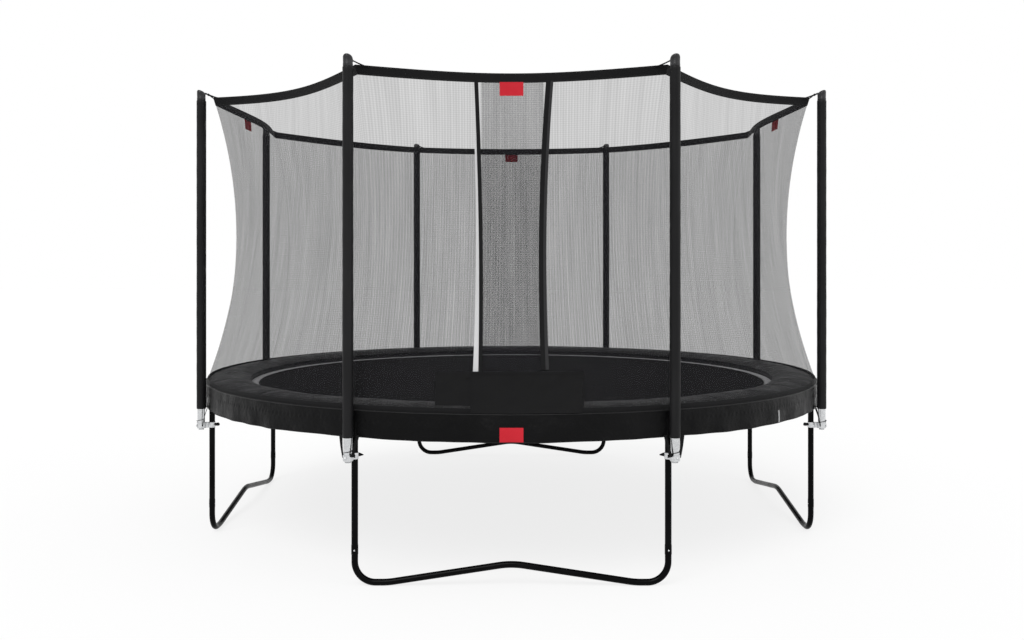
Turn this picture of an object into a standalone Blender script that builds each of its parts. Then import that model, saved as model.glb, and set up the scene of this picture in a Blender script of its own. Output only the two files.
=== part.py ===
"""A round garden trampoline: ring frame on four W legs, eight padded poles and an enclosure net.

The origin is on the ground under the middle of the mat, +Z is up and the entrance faces -Y.
Sizes are in metres and angles in radians. Shapes are skins over rows of rings, and pieces that
repeat share one mesh and are turned about the middle.
"""

import math

import bmesh
import bpy
from mathutils import Matrix, Vector

GAP = 0.0003  # between pieces that touch

# Frame ring, in four arcs that carry the legs and four that link them
RING_RADIUS = 1.880  # centre line, which the leg uprights share
RING_HEIGHT = 0.819  # centre line above the ground
RING_TUBE = 0.038
RING_WALL = 0.0018
SIDES = ("front", "right", "back", "left")
UPRIGHT_SPREAD = math.radians(23.64)  # of an upright from the middle of its leg
ARC_BEYOND_UPRIGHT = 0.130  # leg arc past its socket, along the ring
ARC_STEP = math.radians(4.0)
SPIGOT_LENGTH = 0.060
SPIGOT_WALL = 0.0018
SOCKET_LENGTH = 0.084
SOCKET_WALL = 0.0022
SOCKET_CLEARANCE = 0.0006  # round a leg's end
SOCKET_STOP = 0.0015  # under the ring tube

# Legs
LEG_TUBE = 0.032
LEG_WALL = 0.0016
FOOT_BEND = 0.100
FOOT_FLAT = 0.060
LEG_ARCH = 0.090  # how far the middle of the leg rises above its feet
ARCH_BEND = 0.400

# Poles
POLE_TUBE = 0.042
POLE_WALL = 0.0015
POLE_DROP = 0.219  # pole foot below the ring's centre line
POLE_RISE = 1.681  # pole top above the ring's centre line
PLUG_LENGTH = 0.012
PLUG_WIDTH = 0.030
SLEEVE_WIDTH = 0.053
SLEEVE_DROP = 0.099
SLEEVE_TO_CAP = 0.015  # bare pole inside the cap
SLEEVE_TO_SKIRT = 0.009
CAP_WIDTH = 0.048
CAP_DOME = 0.046
CAP_SLANT = 0.35
CAP_TOP_WALL = 0.003
HOOK_SIZE = (0.016, 0.014, 0.012)  # reach, width and height
HOOK_BELOW_TOP = 0.026

# Clamps between poles and legs
CLAMP_LIFT = 0.025  # above the pole foot
CLAMP_HEIGHT = 0.030
CLAMP_WALL = 0.003
BOLT_WIDTH = 0.013
BOLT_HEAD = 0.006
KNOB_SIZE = (0.022, 0.056, 0.016)  # reach, width and height

# Mat, springs and pad
SPRING_COUNT = 72
SPRING_LENGTH = 0.190
SPRING_WIDTH = 0.016
EDGE_WIRE = 0.012
MAT_THICKNESS = 0.004
MAT_OVER_SPRINGS = 0.002  # mat's middle plane above that of the springs
MAT_CENTRE = 0.250  # radius of the flat disc at the middle of the mat
PAD_OVERLAP = 0.013  # of the pad over the mat
PAD_CROWN = 0.036
PAD_EDGE = 0.016
PAD_RIM = 0.0075  # rim above the underside
SKIRT_WALL = 0.004
SKIRT_DROP = 0.101  # skirt's hem below the ring's centre line
PAD_STEP = math.radians(5.0)

# Enclosure net
NET_THICKNESS = 0.003
NET_INSIDE_SKIRT = 0.0115  # net foot inside the skirt
NET_INSIDE_POLE = 0.067  # top corner inside the pole's centre
NET_TOP_DROP = 0.042  # top corner below the top of the object
NET_TOP_DIP = 0.025  # top edge's middle below its corners
NET_SAG = 0.095  # top edge's middle inside the straight line between its corners
CORNER_WAIST = 0.139
PANEL_WAIST = 0.089
PANEL_COLUMNS = 8
PANEL_ROWS = 5
BAND_HEIGHT = 0.046
BAND_THICKNESS = 0.004
LOOP_CORD = 0.006
LOOP_SPREAD = 0.045  # of a loop's ends either side of its corner
ENTRANCE_FROM = -0.165  # X of the inner flap's free edge, at the net's waist
ENTRANCE_TO = 0.180  # X of the outer flap's free edge
FLAP_GAP = 0.004

TUBE_SIDES = 8
HALF_SIDE = math.pi / TUBE_SIDES
SLEEVE_SIDES = 10
CORD_SIDES = 5
BOLT_SIDES = 6
CLAMP_SIDES = 12
PAD_FACETS = 5
FOOT_STEP = math.radians(22.5)

# Worked out from the sizes above
RING_INNER = (RING_RADIUS - RING_TUBE / 2) * math.cos(ARC_STEP / 2)
RING_TOP = RING_HEIGHT + RING_TUBE / 2
ARC_HALF = UPRIGHT_SPREAD + ARC_BEYOND_UPRIGHT / RING_RADIUS
SOCKET_BORE = LEG_TUBE / 2 + SOCKET_CLEARANCE
FRAME_OUTER = RING_RADIUS + max(RING_TUBE / 2, SOCKET_BORE + SOCKET_WALL)
SKIRT_INNER = (FRAME_OUTER + GAP) / math.cos(PAD_STEP / 2)
SKIRT_OUTER = SKIRT_INNER + SKIRT_WALL
POLE_RADIUS = SKIRT_OUTER + SLEEVE_TO_SKIRT + SLEEVE_WIDTH / 2
POLE_FOOT = RING_HEIGHT - POLE_DROP
POLE_TOP = RING_HEIGHT + POLE_RISE
CAP_FOOT = POLE_TOP - SLEEVE_TO_CAP
CAP_TOP = CAP_FOOT + SLEEVE_TO_CAP + CAP_TOP_WALL + CAP_DOME
WIRE_RADIUS = RING_INNER - GAP - SPRING_LENGTH
MAT_RADIUS = (WIRE_RADIUS - EDGE_WIRE - GAP) * math.cos(math.pi / SPRING_COUNT)
MAT_TOP = RING_HEIGHT + MAT_OVER_SPRINGS + MAT_THICKNESS / 2
PAD_INNER = MAT_RADIUS - PAD_OVERLAP
PAD_UNDER = RING_TOP + GAP
NET_TOP = CAP_TOP - NET_TOP_DROP
SIDE_PITCH = math.tau / len(SIDES)
NAMED_SIDES = [
    (side, SIDES[(index + 1) % len(SIDES)], index * SIDE_PITCH - math.pi / 2)
    for index, side in enumerate(SIDES)
]
UPRIGHTS = [
    upright
    for side, after, angle in NAMED_SIDES
    for upright in (
        (f"{side}_{after}", angle + UPRIGHT_SPREAD),
        (f"{after}_{side}", angle + SIDE_PITCH - UPRIGHT_SPREAD),
    )
]
PANELS = [
    panel
    for side, after, angle in NAMED_SIDES
    for panel in (
        (side, angle, UPRIGHT_SPREAD),
        (f"{side}_{after}", angle + SIDE_PITCH / 2, SIDE_PITCH / 2 - UPRIGHT_SPREAD),
    )
]


# ---------------------------------------------------------------- materials


def material(name, colour, roughness, metallic=0.0):
    made = bpy.data.materials.new(name)
    made.use_nodes = True
    shader = made.node_tree.nodes["Principled BSDF"]
    shader.inputs["Base Color"].default_value = (*colour, 1.0)
    shader.inputs["Roughness"].default_value = roughness
    shader.inputs["Metallic"].default_value = metallic
    return made


def materials():
    return {
        "frame": material("black_painted_steel", (0.012, 0.012, 0.013), 0.28),
        "zinc": material("galvanised_steel", (0.62, 0.63, 0.64), 0.34, 1.0),
        "foam": material("black_foam", (0.045, 0.045, 0.047), 0.75),
        "cap": material("black_plastic", (0.014, 0.014, 0.015), 0.35),
        "mat": material("woven_mat", (0.013, 0.013, 0.014), 0.62),
        "pad": material("black_pvc", (0.020, 0.020, 0.022), 0.32),
        "net": material("grey_net", (0.030, 0.030, 0.032), 0.85),
        "webbing": material("black_webbing", (0.012, 0.012, 0.013), 0.70),
        "spring": material("zinc_spring", (0.66, 0.66, 0.64), 0.30, 1.0),
    }


# ---------------------------------------------------------------- shapes


def circle(middle, across, up, radius, sides=TUBE_SIDES, turn=0.0):
    """Points of a circle about middle in the plane of the unit vectors across and up."""
    angles = [turn + math.tau * k / sides for k in range(sides)]
    return [middle + radius * (math.cos(a) * across + math.sin(a) * up) for a in angles]


def level_ring(height, radius, sides=TUBE_SIDES, x=0.0, slant=0.0):
    """Points of a circle about the upright line through (x, 0), tipped up towards +X by slant."""
    across, up = Vector((1, 0, 0)), Vector((0, 1, 0))
    flat = circle(Vector((0, 0, 0)), across, up, radius, sides, math.pi / sides)
    return [Vector((x + p.x, p.y, height + slant * p.x)) for p in flat]


def skin(rings, closed=False, paired=False):
    """A closed surface over rings of equally many points: capped at both ends, or run round.

    Paired is for a thin sheet, whose rings go up one side and down the other: both sides then
    fold along the same diagonals, so that they keep their distance where the sheet is curved.
    """
    bm = bmesh.new()
    rows = [[bm.verts.new(point) for point in ring] for ring in rings]
    count = len(rows[0])
    pairs = list(zip(rows, rows[1:]))
    if closed:
        pairs.append((rows[-1], rows[0]))
    else:
        bm.faces.new(rows[0])
        bm.faces.new(rows[-1])
    for near, far in pairs:
        for k in range(count):
            after = (k + 1) % count
            corners = [near[k], near[after], far[after], far[k]]
            if paired:
                first = 0 if k < count // 2 else 1
                corners = corners[first:] + corners[:first]
                bm.faces.new(corners[:3])
                corners = [corners[0], corners[2], corners[3]]
            bm.faces.new(corners)
    bmesh.ops.recalc_face_normals(bm, faces=bm.faces)
    return bm


def mesh_of(bm, name):
    mesh = bpy.data.meshes.new(name)
    bm.to_mesh(mesh)
    bm.free()
    return mesh


def combined(name, base, steps):
    """The mesh left after each (operation, bmesh) of steps is done to base, in order."""
    subject = bpy.data.objects.new(name, mesh_of(base, name))
    helpers = [subject]
    for operation, tool in steps:
        helper = bpy.data.objects.new(f"{name}_tool", mesh_of(tool, f"{name}_tool"))
        helpers.append(helper)
        cut = subject.modifiers.new(operation.lower(), "BOOLEAN")
        cut.operation = operation
        cut.object = helper
    for helper in helpers:
        bpy.context.scene.collection.objects.link(helper)
    graph = bpy.context.evaluated_depsgraph_get()
    result = bpy.data.meshes.new_from_object(subject.evaluated_get(graph), depsgraph=graph)
    result.name = name
    for helper in helpers:
        bpy.data.objects.remove(helper)
    return result


def piece(name, mesh, finish, turn=0.0):
    """A piece of the object, turned about the middle, shaded smooth except at its edges."""
    mesh.shade_smooth()
    mesh.set_sharp_from_angle(angle=math.radians(50))
    if not mesh.materials:
        mesh.materials.append(finish)
    made = bpy.data.objects.new(name, mesh)
    made.rotation_euler.z = turn
    bpy.context.scene.collection.objects.link(made)
    return made


def steps_between(first, last, step):
    """Equal steps from first to last, none larger than step."""
    count = max(1, math.ceil(abs(last - first) / step - 1e-6))
    return [first + (last - first) * k / count for k in range(count + 1)]


def box(low, high):
    bm = bmesh.new()
    size = [b - a for a, b in zip(low, high)]
    middle = [(a + b) / 2 for a, b in zip(low, high)]
    place = Matrix.Translation(middle) @ Matrix.Diagonal((*size, 1.0))
    bmesh.ops.create_cube(bm, size=1.0, matrix=place)
    return bm


# ---------------------------------------------------------------- frame ring


def arc_ring(angle, radius):
    """A circle of the ring tube at an angle round the ring."""
    out = Vector((math.cos(angle), math.sin(angle), 0))
    middle = RING_RADIUS * out + Vector((0, 0, RING_HEIGHT))
    return circle(middle, out, Vector((0, 0, 1)), radius)


def upright_rod(x, y, radius, low, high):
    shift = Vector((x, y, 0))
    return skin([[p + shift for p in level_ring(z, radius)] for z in (low, high)])


SOCKET_FOOT = RING_HEIGHT - SOCKET_LENGTH
SOCKET_TOP = RING_HEIGHT - RING_TUBE / 2 - SOCKET_STOP


def leg_arc_mesh():
    """Ring arc about +X with two sockets under it, hollow and open at its ends."""
    end = ARC_HALF - GAP / RING_RADIUS / 2
    spigot = end - SPIGOT_LENGTH / RING_RADIUS
    angles = [-end, *steps_between(-spigot, spigot, ARC_STEP), end]
    beyond = [angles[0] - ARC_STEP, *angles, angles[-1] + ARC_STEP]
    x = RING_RADIUS * math.cos(UPRIGHT_SPREAD)
    y = RING_RADIUS * math.sin(UPRIGHT_SPREAD)
    below = SOCKET_FOOT - SOCKET_LENGTH
    steps = [
        ("UNION", upright_rod(x, sign * y, SOCKET_BORE + SOCKET_WALL, SOCKET_FOOT, RING_HEIGHT))
        for sign in (-1, 1)
    ]
    steps.append(("DIFFERENCE", skin([arc_ring(a, RING_TUBE / 2 - RING_WALL) for a in beyond])))
    steps += [
        ("DIFFERENCE", upright_rod(x, sign * y, SOCKET_BORE, below, SOCKET_TOP))
        for sign in (-1, 1)
    ]
    return combined("leg_arc", skin([arc_ring(a, RING_TUBE / 2) for a in angles]), steps)


def link_arc_mesh():
    """Ring arc about +X between two leg arcs, with a narrower spigot at each end."""
    end = SIDE_PITCH / 2 - ARC_HALF - GAP / RING_RADIUS / 2
    tip = end + SPIGOT_LENGTH / RING_RADIUS
    body = steps_between(-end, end, ARC_STEP)
    slim = RING_TUBE / 2 - RING_WALL - GAP / math.cos(math.pi / TUBE_SIDES)
    outer = [(-tip, slim), (-end, slim)]
    outer += [(angle, RING_TUBE / 2) for angle in body]
    outer += [(end, slim), (tip, slim)]
    inner = [(angle, slim - SPIGOT_WALL) for angle in (tip, *reversed(body), -tip)]
    return mesh_of(skin([arc_ring(a, r) for a, r in outer + inner], closed=True), "link_arc")


# ---------------------------------------------------------------- legs


def rounded(corners, step):
    """A plane path through (point, radius) corners: each inner corner becomes an arc.

    Returns (point, direction) pairs.
    """
    points = [Vector(point) for point, _ in corners]
    path = [(points[0], (points[1] - points[0]).normalized())]
    for before, (corner, radius), after in zip(points, corners[1:], points[2:]):
        corner = Vector(corner)
        come = (corner - before).normalized()
        leave = (after - corner).normalized()
        bend = math.atan2(come.x * leave.y - come.y * leave.x, come.dot(leave))
        start = corner - come * radius * math.tan(abs(bend) / 2)
        side = math.copysign(1, bend)
        centre = start + side * radius * Vector((-come.y, come.x))
        for turn in steps_between(0, bend, step):
            spin = Matrix.Rotation(turn, 2)
            path.append((centre + spin @ (start - centre), spin @ come))
    path.append((points[-1], (points[-1] - points[-2]).normalized()))
    return path


def leg_mesh():
    """W leg about +X: two uprights joined by a tube that lies flat at each foot and arches between."""
    plane = RING_RADIUS * math.cos(UPRIGHT_SPREAD)
    half = RING_RADIUS * math.sin(UPRIGHT_SPREAD)
    low = LEG_TUBE / 2 * math.cos(math.pi / TUBE_SIDES)
    toe = half - FOOT_BEND - FOOT_FLAT
    top = SOCKET_TOP - GAP
    corners = [
        ((-half, top), 0),
        ((-half, low), FOOT_BEND),
        ((-toe, low), ARCH_BEND),
        ((0, low + LEG_ARCH), ARCH_BEND),
        ((toe, low), ARCH_BEND),
        ((half, low), FOOT_BEND),
        ((half, top), 0),
    ]
    path = rounded(corners, FOOT_STEP)
    out = Vector((1, 0, 0))
    rings = {}
    for radius in (LEG_TUBE / 2, LEG_TUBE / 2 - LEG_WALL):
        rings[radius] = [
            circle(Vector((plane, p.x, p.y)), out, Vector((0, -d.y, d.x)), radius, turn=HALF_SIDE)
            for p, d in path
        ]
    outer, inner = rings.values()
    return mesh_of(skin(outer + inner[::-1], closed=True), "leg")


# ---------------------------------------------------------------- poles


def pole_mesh():
    """Pole about (POLE_RADIUS, 0): an open tube with a narrower plug at its foot."""
    bore = POLE_TUBE / 2 - POLE_WALL
    plug = PLUG_WIDTH / 2
    profile = [
        (POLE_FOOT, plug - POLE_WALL),
        (POLE_FOOT, plug),
        (POLE_FOOT + PLUG_LENGTH, plug),
        (POLE_FOOT + PLUG_LENGTH, POLE_TUBE / 2),
        (POLE_TOP, POLE_TUBE / 2),
        (POLE_TOP, bore),
        (POLE_FOOT + PLUG_LENGTH + POLE_WALL, bore),
        (POLE_FOOT + PLUG_LENGTH + POLE_WALL, plug - POLE_WALL),
    ]
    return mesh_of(skin([level_ring(z, r, x=POLE_RADIUS) for z, r in profile], closed=True), "pole")


def sleeve_mesh():
    """Foam tube round the pole, from below the skirt's top to the cap."""
    bore = (POLE_TUBE / 2 + GAP) / math.cos(math.pi / SLEEVE_SIDES)
    low, high = RING_HEIGHT - SLEEVE_DROP, CAP_FOOT - GAP
    profile = [(low, bore), (low, SLEEVE_WIDTH / 2), (high, SLEEVE_WIDTH / 2), (high, bore)]
    rings = [level_ring(z, r, SLEEVE_SIDES, x=POLE_RADIUS) for z, r in profile]
    return mesh_of(skin(rings, closed=True), "sleeve")


HOOK_HEIGHT = CAP_TOP - HOOK_BELOW_TOP
HOOK_TIP = POLE_RADIUS - CAP_WIDTH / 2 - HOOK_SIZE[0]


def cap_mesh():
    """Cap over the pole's end: a dome that slopes down inwards, with a hook for the net's loop."""
    bore = (POLE_TUBE / 2 + GAP) / math.cos(math.pi / SLEEVE_SIDES)
    shoulder = POLE_TOP + CAP_TOP_WALL
    rings = [
        level_ring(z, r, SLEEVE_SIDES, x=POLE_RADIUS)
        for z, r in ((POLE_TOP + GAP, bore), (CAP_FOOT, bore), (CAP_FOOT, CAP_WIDTH / 2))
    ]
    for rise in (0, 25, 50, 70):
        radius = CAP_WIDTH / 2 * math.cos(math.radians(rise))
        share = math.sin(math.radians(rise)) / math.sin(math.radians(70))
        slant = CAP_SLANT * share
        peak = shoulder + CAP_DOME * share
        rings.append(
            level_ring(peak - slant * radius, radius, SLEEVE_SIDES, x=POLE_RADIUS, slant=slant)
        )
    _, width, height = HOOK_SIZE
    hook = box(
        (HOOK_TIP, -width / 2, HOOK_HEIGHT - height / 2),
        (POLE_RADIUS - CAP_WIDTH / 4, width / 2, HOOK_HEIGHT + height / 2),
    )
    return combined("cap", skin(rings), [("UNION", hook)])


# ---------------------------------------------------------------- clamps


def clamp_mesh():
    """Collar round a pole and its leg's upright, with a bolt head outside and a wing knob inside."""
    middle = POLE_FOOT + CLAMP_LIFT
    low, high = middle - CLAMP_HEIGHT / 2, middle + CLAMP_HEIGHT / 2
    leg, pole = LEG_TUBE / 2 + GAP, POLE_TUBE / 2 + GAP
    tubes = ((RING_RADIUS, leg, leg / math.cos(HALF_SIDE)), (POLE_RADIUS, pole, pole))
    collar = bmesh.new()
    for x, radius, _ in tubes:
        for z in (low, high):
            for point in level_ring(z, radius + CLAMP_WALL, CLAMP_SIDES, x=x):
                collar.verts.new(point)
    bmesh.ops.convex_hull(collar, input=collar.verts)
    bmesh.ops.dissolve_limit(collar, angle_limit=0.01, verts=collar.verts, edges=collar.edges)
    inner = RING_RADIUS - leg - CLAMP_WALL
    outer = POLE_RADIUS + pole + CLAMP_WALL
    reach, width, height = KNOB_SIZE
    root = CLAMP_WALL / 2
    knob = box(
        (inner - reach, -width / 2, middle - height / 2),
        (inner + root, width / 2, middle + height / 2),
    )
    across, up = Vector((0, 1, 0)), Vector((0, 0, 1))
    bolt = skin([
        circle(Vector((x, 0, middle)), across, up, BOLT_WIDTH / 2, BOLT_SIDES)
        for x in (outer - root, outer + BOLT_HEAD)
    ])
    steps = [("UNION", knob), ("UNION", bolt)]
    for x, _, bore in tubes:
        steps.append(("DIFFERENCE", upright_rod(x, 0, bore, low - CLAMP_HEIGHT, high + CLAMP_HEIGHT)))
    return combined("clamp", collar, steps)


# ---------------------------------------------------------------- mat, springs and pad


def mat_mesh():
    """The mat: a thin disc with a flat middle face on each side."""
    sides = SPRING_COUNT
    rings = [
        level_ring(z, r, sides)
        for z, r in (
            (MAT_TOP, MAT_CENTRE),
            (MAT_TOP, MAT_RADIUS),
            (MAT_TOP - MAT_THICKNESS, MAT_RADIUS),
            (MAT_TOP - MAT_THICKNESS, MAT_CENTRE),
        )
    ]
    return mesh_of(skin(rings), "mat")


def springs_mesh():
    """The ring of eyes at the mat's edge, with a spring out to the frame from each eye."""
    pitch = math.tau / SPRING_COUNT
    half = math.asin(SPRING_WIDTH / 2 / WIRE_RADIUS)
    columns = []
    for k in range(SPRING_COUNT):
        for angle in (k * pitch - half, k * pitch + half):
            out = Vector((math.cos(angle), math.sin(angle), 0))
            columns.append([
                out * (WIRE_RADIUS - inward) + Vector((0, 0, RING_HEIGHT + rise))
                for inward, rise in (
                    (EDGE_WIRE, -SPRING_WIDTH / 2),
                    (0, -SPRING_WIDTH / 2),
                    (0, SPRING_WIDTH / 2),
                    (EDGE_WIRE, SPRING_WIDTH / 2),
                )
            ])
    bm = skin(columns, closed=True)
    roots = [face for face in bm.faces if is_spring_root(face)]
    grown = bmesh.ops.extrude_discrete_faces(bm, faces=roots)["faces"]
    for face in grown:
        out = face.calc_center_median().to_2d().to_3d().normalized()
        bmesh.ops.translate(bm, verts=face.verts, vec=out * SPRING_LENGTH)
    return mesh_of(bm, "springs")


def is_spring_root(face):
    """Whether a face of the eye ring looks outwards and is as wide as a spring."""
    middle = face.calc_center_median()
    outward = face.normal.dot(middle.to_2d().to_3d().normalized()) > 0.9
    across = max((a.co - b.co).to_2d().length for a in face.verts for b in face.verts)
    return outward and across < 1.01 * SPRING_WIDTH


def pad_profile():
    """(radius, height) corners of the pad: underside, hanging skirt, rim and crowned top."""
    corners = [
        (PAD_INNER, PAD_UNDER),
        (SKIRT_INNER, PAD_UNDER),
        (SKIRT_INNER, RING_HEIGHT - SKIRT_DROP),
        (SKIRT_OUTER, RING_HEIGHT - SKIRT_DROP),
    ]
    for k in range(PAD_FACETS + 1):
        share = k / PAD_FACETS
        edge = PAD_RIM + (PAD_EDGE - PAD_RIM) * share
        bulge = (PAD_CROWN - (PAD_RIM + PAD_EDGE) / 2) * 4 * share * (1 - share)
        corners.append((SKIRT_OUTER + (PAD_INNER - SKIRT_OUTER) * share, PAD_UNDER + edge + bulge))
    return corners


def pad_top(radius):
    """Height of the pad's top at a radius."""
    top = pad_profile()[-PAD_FACETS - 1:]
    for (far, far_z), (near, near_z) in zip(top, top[1:]):
        if near <= radius <= far:
            return far_z + (near_z - far_z) * (far - radius) / (far - near)
    return PAD_UNDER


def pad_mesh():
    """A quarter of the pad about +X."""
    end = SIDE_PITCH / 2 - GAP / PAD_INNER
    rings = []
    for angle in steps_between(-end, end, PAD_STEP):
        out = Vector((math.cos(angle), math.sin(angle), 0))
        rings.append([r * out + Vector((0, 0, z)) for r, z in pad_profile()])
    return mesh_of(skin(rings), "pad")


# ---------------------------------------------------------------- enclosure net


def net_radius(across, half, share):
    """Radius of the net's outer face.

    Across is the angle from the middle of a panel that spans half to either side. Share runs
    from 0 at the net's foot to 1 at its top. Both the corners and the middles of the panels
    run in to a waist, and the top edge sags inwards between the corners.
    """
    foot = SKIRT_OUTER - NET_INSIDE_SKIRT
    corner_top = POLE_RADIUS - NET_INSIDE_POLE
    middle_top = corner_top * math.cos(half) - NET_SAG
    waist = 4 * share * (1 - share)
    corner = foot + (corner_top - foot) * share - CORNER_WAIST * waist
    middle = foot + (middle_top - foot) * share - PANEL_WAIST * waist
    return middle + (corner - middle) * (across / half) ** 2


def net_foot(inset):
    """Height of the foot of a sheet of net, which stands on the pad inside its rim."""
    column = max(half for _, _, half in PANELS) / PANEL_COLUMNS
    inside = (SKIRT_OUTER - NET_INSIDE_SKIRT - NET_THICKNESS - inset) * math.cos(column)
    return pad_top(inside) + GAP


def net_edge(across, half):
    """Height of the net's top edge, which dips between the corners."""
    return NET_TOP - NET_TOP_DIP * (1 - (across / half) ** 2)


def net_point(turn, half, share, height, inwards):
    """Point at an angle from a panel's middle: share sets its radius and inwards its depth."""
    radius = net_radius(turn, half, share) - inwards
    return Vector((radius * math.cos(turn), radius * math.sin(turn), height))


def net_mesh(half, turns, inset=0.0, joined_at=None):
    """A sheet of net about +X through the columns at turns, ending under the top band.

    Inset sets it inside the other sheets, tapering to nothing at the angle joined_at.
    """
    foot = net_foot(inset)
    taper = turns[-1] - turns[0]
    columns = []
    for turn in turns:
        away = 0 if joined_at is None else min(1, 2 * abs(joined_at - turn) / taper)
        top = net_edge(turn, half) - BAND_HEIGHT - GAP
        rows = [(k / PANEL_ROWS, foot + (top - foot) * k / PANEL_ROWS) for k in range(PANEL_ROWS + 1)]
        face = [net_point(turn, half, share, z, inset * away) for share, z in rows]
        back = [net_point(turn, half, share, z, inset * away + NET_THICKNESS) for share, z in rows]
        columns.append(face + back[::-1])
    return mesh_of(skin(columns, paired=True), "net_panel")


def net_sheets():
    """(name, angle, mesh) of each sheet of net. The front one is two flaps that overlap."""
    sheets = []
    for name, angle, half in PANELS:
        end = half - GAP / RING_RADIUS
        turns = steps_between(-end, end, 2 * end / PANEL_COLUMNS)
        if name != SIDES[0]:
            sheets.append((name, angle, net_mesh(half, turns)))
            continue
        waist = net_radius(0, half, 0.5)
        near, far = (math.asin(x / waist) for x in (ENTRANCE_FROM, ENTRANCE_TO))
        outer = [turn for turn in turns if turn < far] + [far]
        inner = [near] + [turn for turn in turns if turn > near]
        inset = NET_THICKNESS + FLAP_GAP
        sheets.append((f"{name}_outer_flap", angle, net_mesh(half, outer)))
        sheets.append((f"{name}_inner_flap", angle, net_mesh(half, inner, inset, end)))
    return sheets


def band_mesh():
    """Webbing round the net's top, with a V of cord from each cap's hook to either side of a corner."""
    columns, steps = [], []
    for _, middle, half in PANELS:
        spin = Matrix.Rotation(middle, 3, "Z")
        turns = steps_between(-half, half, 2 * half / PANEL_COLUMNS)
        for turn in turns[:-1]:
            top = net_edge(turn, half)
            columns.append([
                spin @ net_point(turn, half, 1, z, inwards)
                for z, inwards in (
                    (top - BAND_HEIGHT, 0),
                    (top, 0),
                    (top, BAND_THICKNESS),
                    (top - BAND_HEIGHT, BAND_THICKNESS),
                )
            ])
        for corner, beside in (turns[:2], turns[:-3:-1]):
            steps.append(("UNION", loop_cord(spin, corner, beside, half)))
    return combined("net_band", skin(columns, closed=True), steps)


def loop_cord(spin, corner, beside, half):
    """Cord from the hook at a panel's corner to the band, towards the column beside the corner."""
    near, far = (
        net_point(turn, half, 1, net_edge(turn, half) - LOOP_CORD, BAND_THICKNESS / 2)
        for turn in (corner, beside)
    )
    start = Matrix.Rotation(corner, 3, "Z") @ Vector((HOOK_TIP - GAP - LOOP_CORD / 3, 0, HOOK_HEIGHT))
    end = near + (far - near).normalized() * LOOP_SPREAD
    return rod(spin @ start, spin @ end, LOOP_CORD / 2)


def rod(start, end, radius):
    along = (end - start).normalized()
    across = along.cross(Vector((0, 0, 1))).normalized()
    up = across.cross(along)
    return skin([circle(p, across, up, radius, CORD_SIDES) for p in (start, end)])


# ---------------------------------------------------------------- the whole object


def main():
    for leftover in list(bpy.data.objects):
        bpy.data.objects.remove(leftover)
    finish = materials()
    leg, leg_arc, link_arc, pad = leg_mesh(), leg_arc_mesh(), link_arc_mesh(), pad_mesh()
    for side, after, angle in NAMED_SIDES:
        piece(f"leg_{side}", leg, finish["frame"], angle)
        piece(f"frame_arc_{side}", leg_arc, finish["frame"], angle)
        piece(f"frame_link_{side}_{after}", link_arc, finish["frame"], angle + SIDE_PITCH / 2)
        piece(f"spring_pad_{side}", pad, finish["pad"], angle)
    pole, sleeve, cap, clamp = pole_mesh(), sleeve_mesh(), cap_mesh(), clamp_mesh()
    for place, angle in UPRIGHTS:
        piece(f"pole_{place}", pole, finish["zinc"], angle)
        piece(f"pole_sleeve_{place}", sleeve, finish["foam"], angle)
        piece(f"pole_cap_{place}", cap, finish["cap"], angle)
        piece(f"pole_clamp_{place}", clamp, finish["zinc"], angle)
    for place, angle, sheet in net_sheets():
        piece(f"net_{place}", sheet, finish["net"], angle)
    piece("net_top_band", band_mesh(), finish["webbing"])
    piece("springs", springs_mesh(), finish["spring"])
    piece("jumping_mat", mat_mesh(), finish["mat"])


main()
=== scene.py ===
"""The finished look of a round garden trampoline with an enclosure net.

Each sub-assembly is a class that holds its sizes in metres and builds its own pieces. The
origin is on the ground under the middle of the mat, +Z is up and the entrance faces -Y.
Angles round the trampoline are measured from +X towards +Y.
"""

import enum
import logging
import math
from collections.abc import Callable, Sequence
from dataclasses import dataclass, field

import bpy
import numpy as np
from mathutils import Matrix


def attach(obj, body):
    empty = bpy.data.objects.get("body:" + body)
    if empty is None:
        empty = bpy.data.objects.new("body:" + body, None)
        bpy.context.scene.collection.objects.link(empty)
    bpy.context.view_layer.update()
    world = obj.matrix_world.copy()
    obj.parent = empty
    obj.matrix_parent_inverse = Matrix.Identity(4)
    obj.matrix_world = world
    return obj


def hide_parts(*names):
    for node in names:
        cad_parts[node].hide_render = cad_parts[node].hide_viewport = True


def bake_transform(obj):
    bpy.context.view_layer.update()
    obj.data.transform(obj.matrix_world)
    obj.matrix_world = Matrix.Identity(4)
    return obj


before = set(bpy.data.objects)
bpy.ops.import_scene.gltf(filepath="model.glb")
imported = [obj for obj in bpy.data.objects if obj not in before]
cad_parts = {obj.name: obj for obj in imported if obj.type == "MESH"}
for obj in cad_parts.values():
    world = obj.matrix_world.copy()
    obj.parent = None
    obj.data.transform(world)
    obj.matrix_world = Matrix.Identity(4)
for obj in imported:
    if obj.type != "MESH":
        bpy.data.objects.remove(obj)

LOG = logging.getLogger("trampoline")
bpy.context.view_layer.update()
SPREAD = math.radians(23.64)  # of an upright from the middle of its leg
SIDES = ("front", "right", "back", "left")
QUARTER = math.pi / 2

Points = np.ndarray
Colour = tuple[float, float, float]


class Body(enum.Enum):
    """The two rigid bodies of the frame."""

    FRAME = "frame"
    MAT = "mat"


class Slot(enum.Enum):
    """The material slots of the record."""

    PAINT = "frame_paint"
    ZINC = "zinc"
    FOAM = "foam"
    CAP = "cap_plastic"
    PAD = "pad_cover"
    SPRING = "spring_wire"
    MAT = "mat_weave"
    WEBBING = "webbing"
    NET = "net_mesh"


def side_angle(index: int) -> float:
    """Direction of a side, counted from the front towards +X."""
    return index * QUARTER - math.pi / 2


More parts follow.
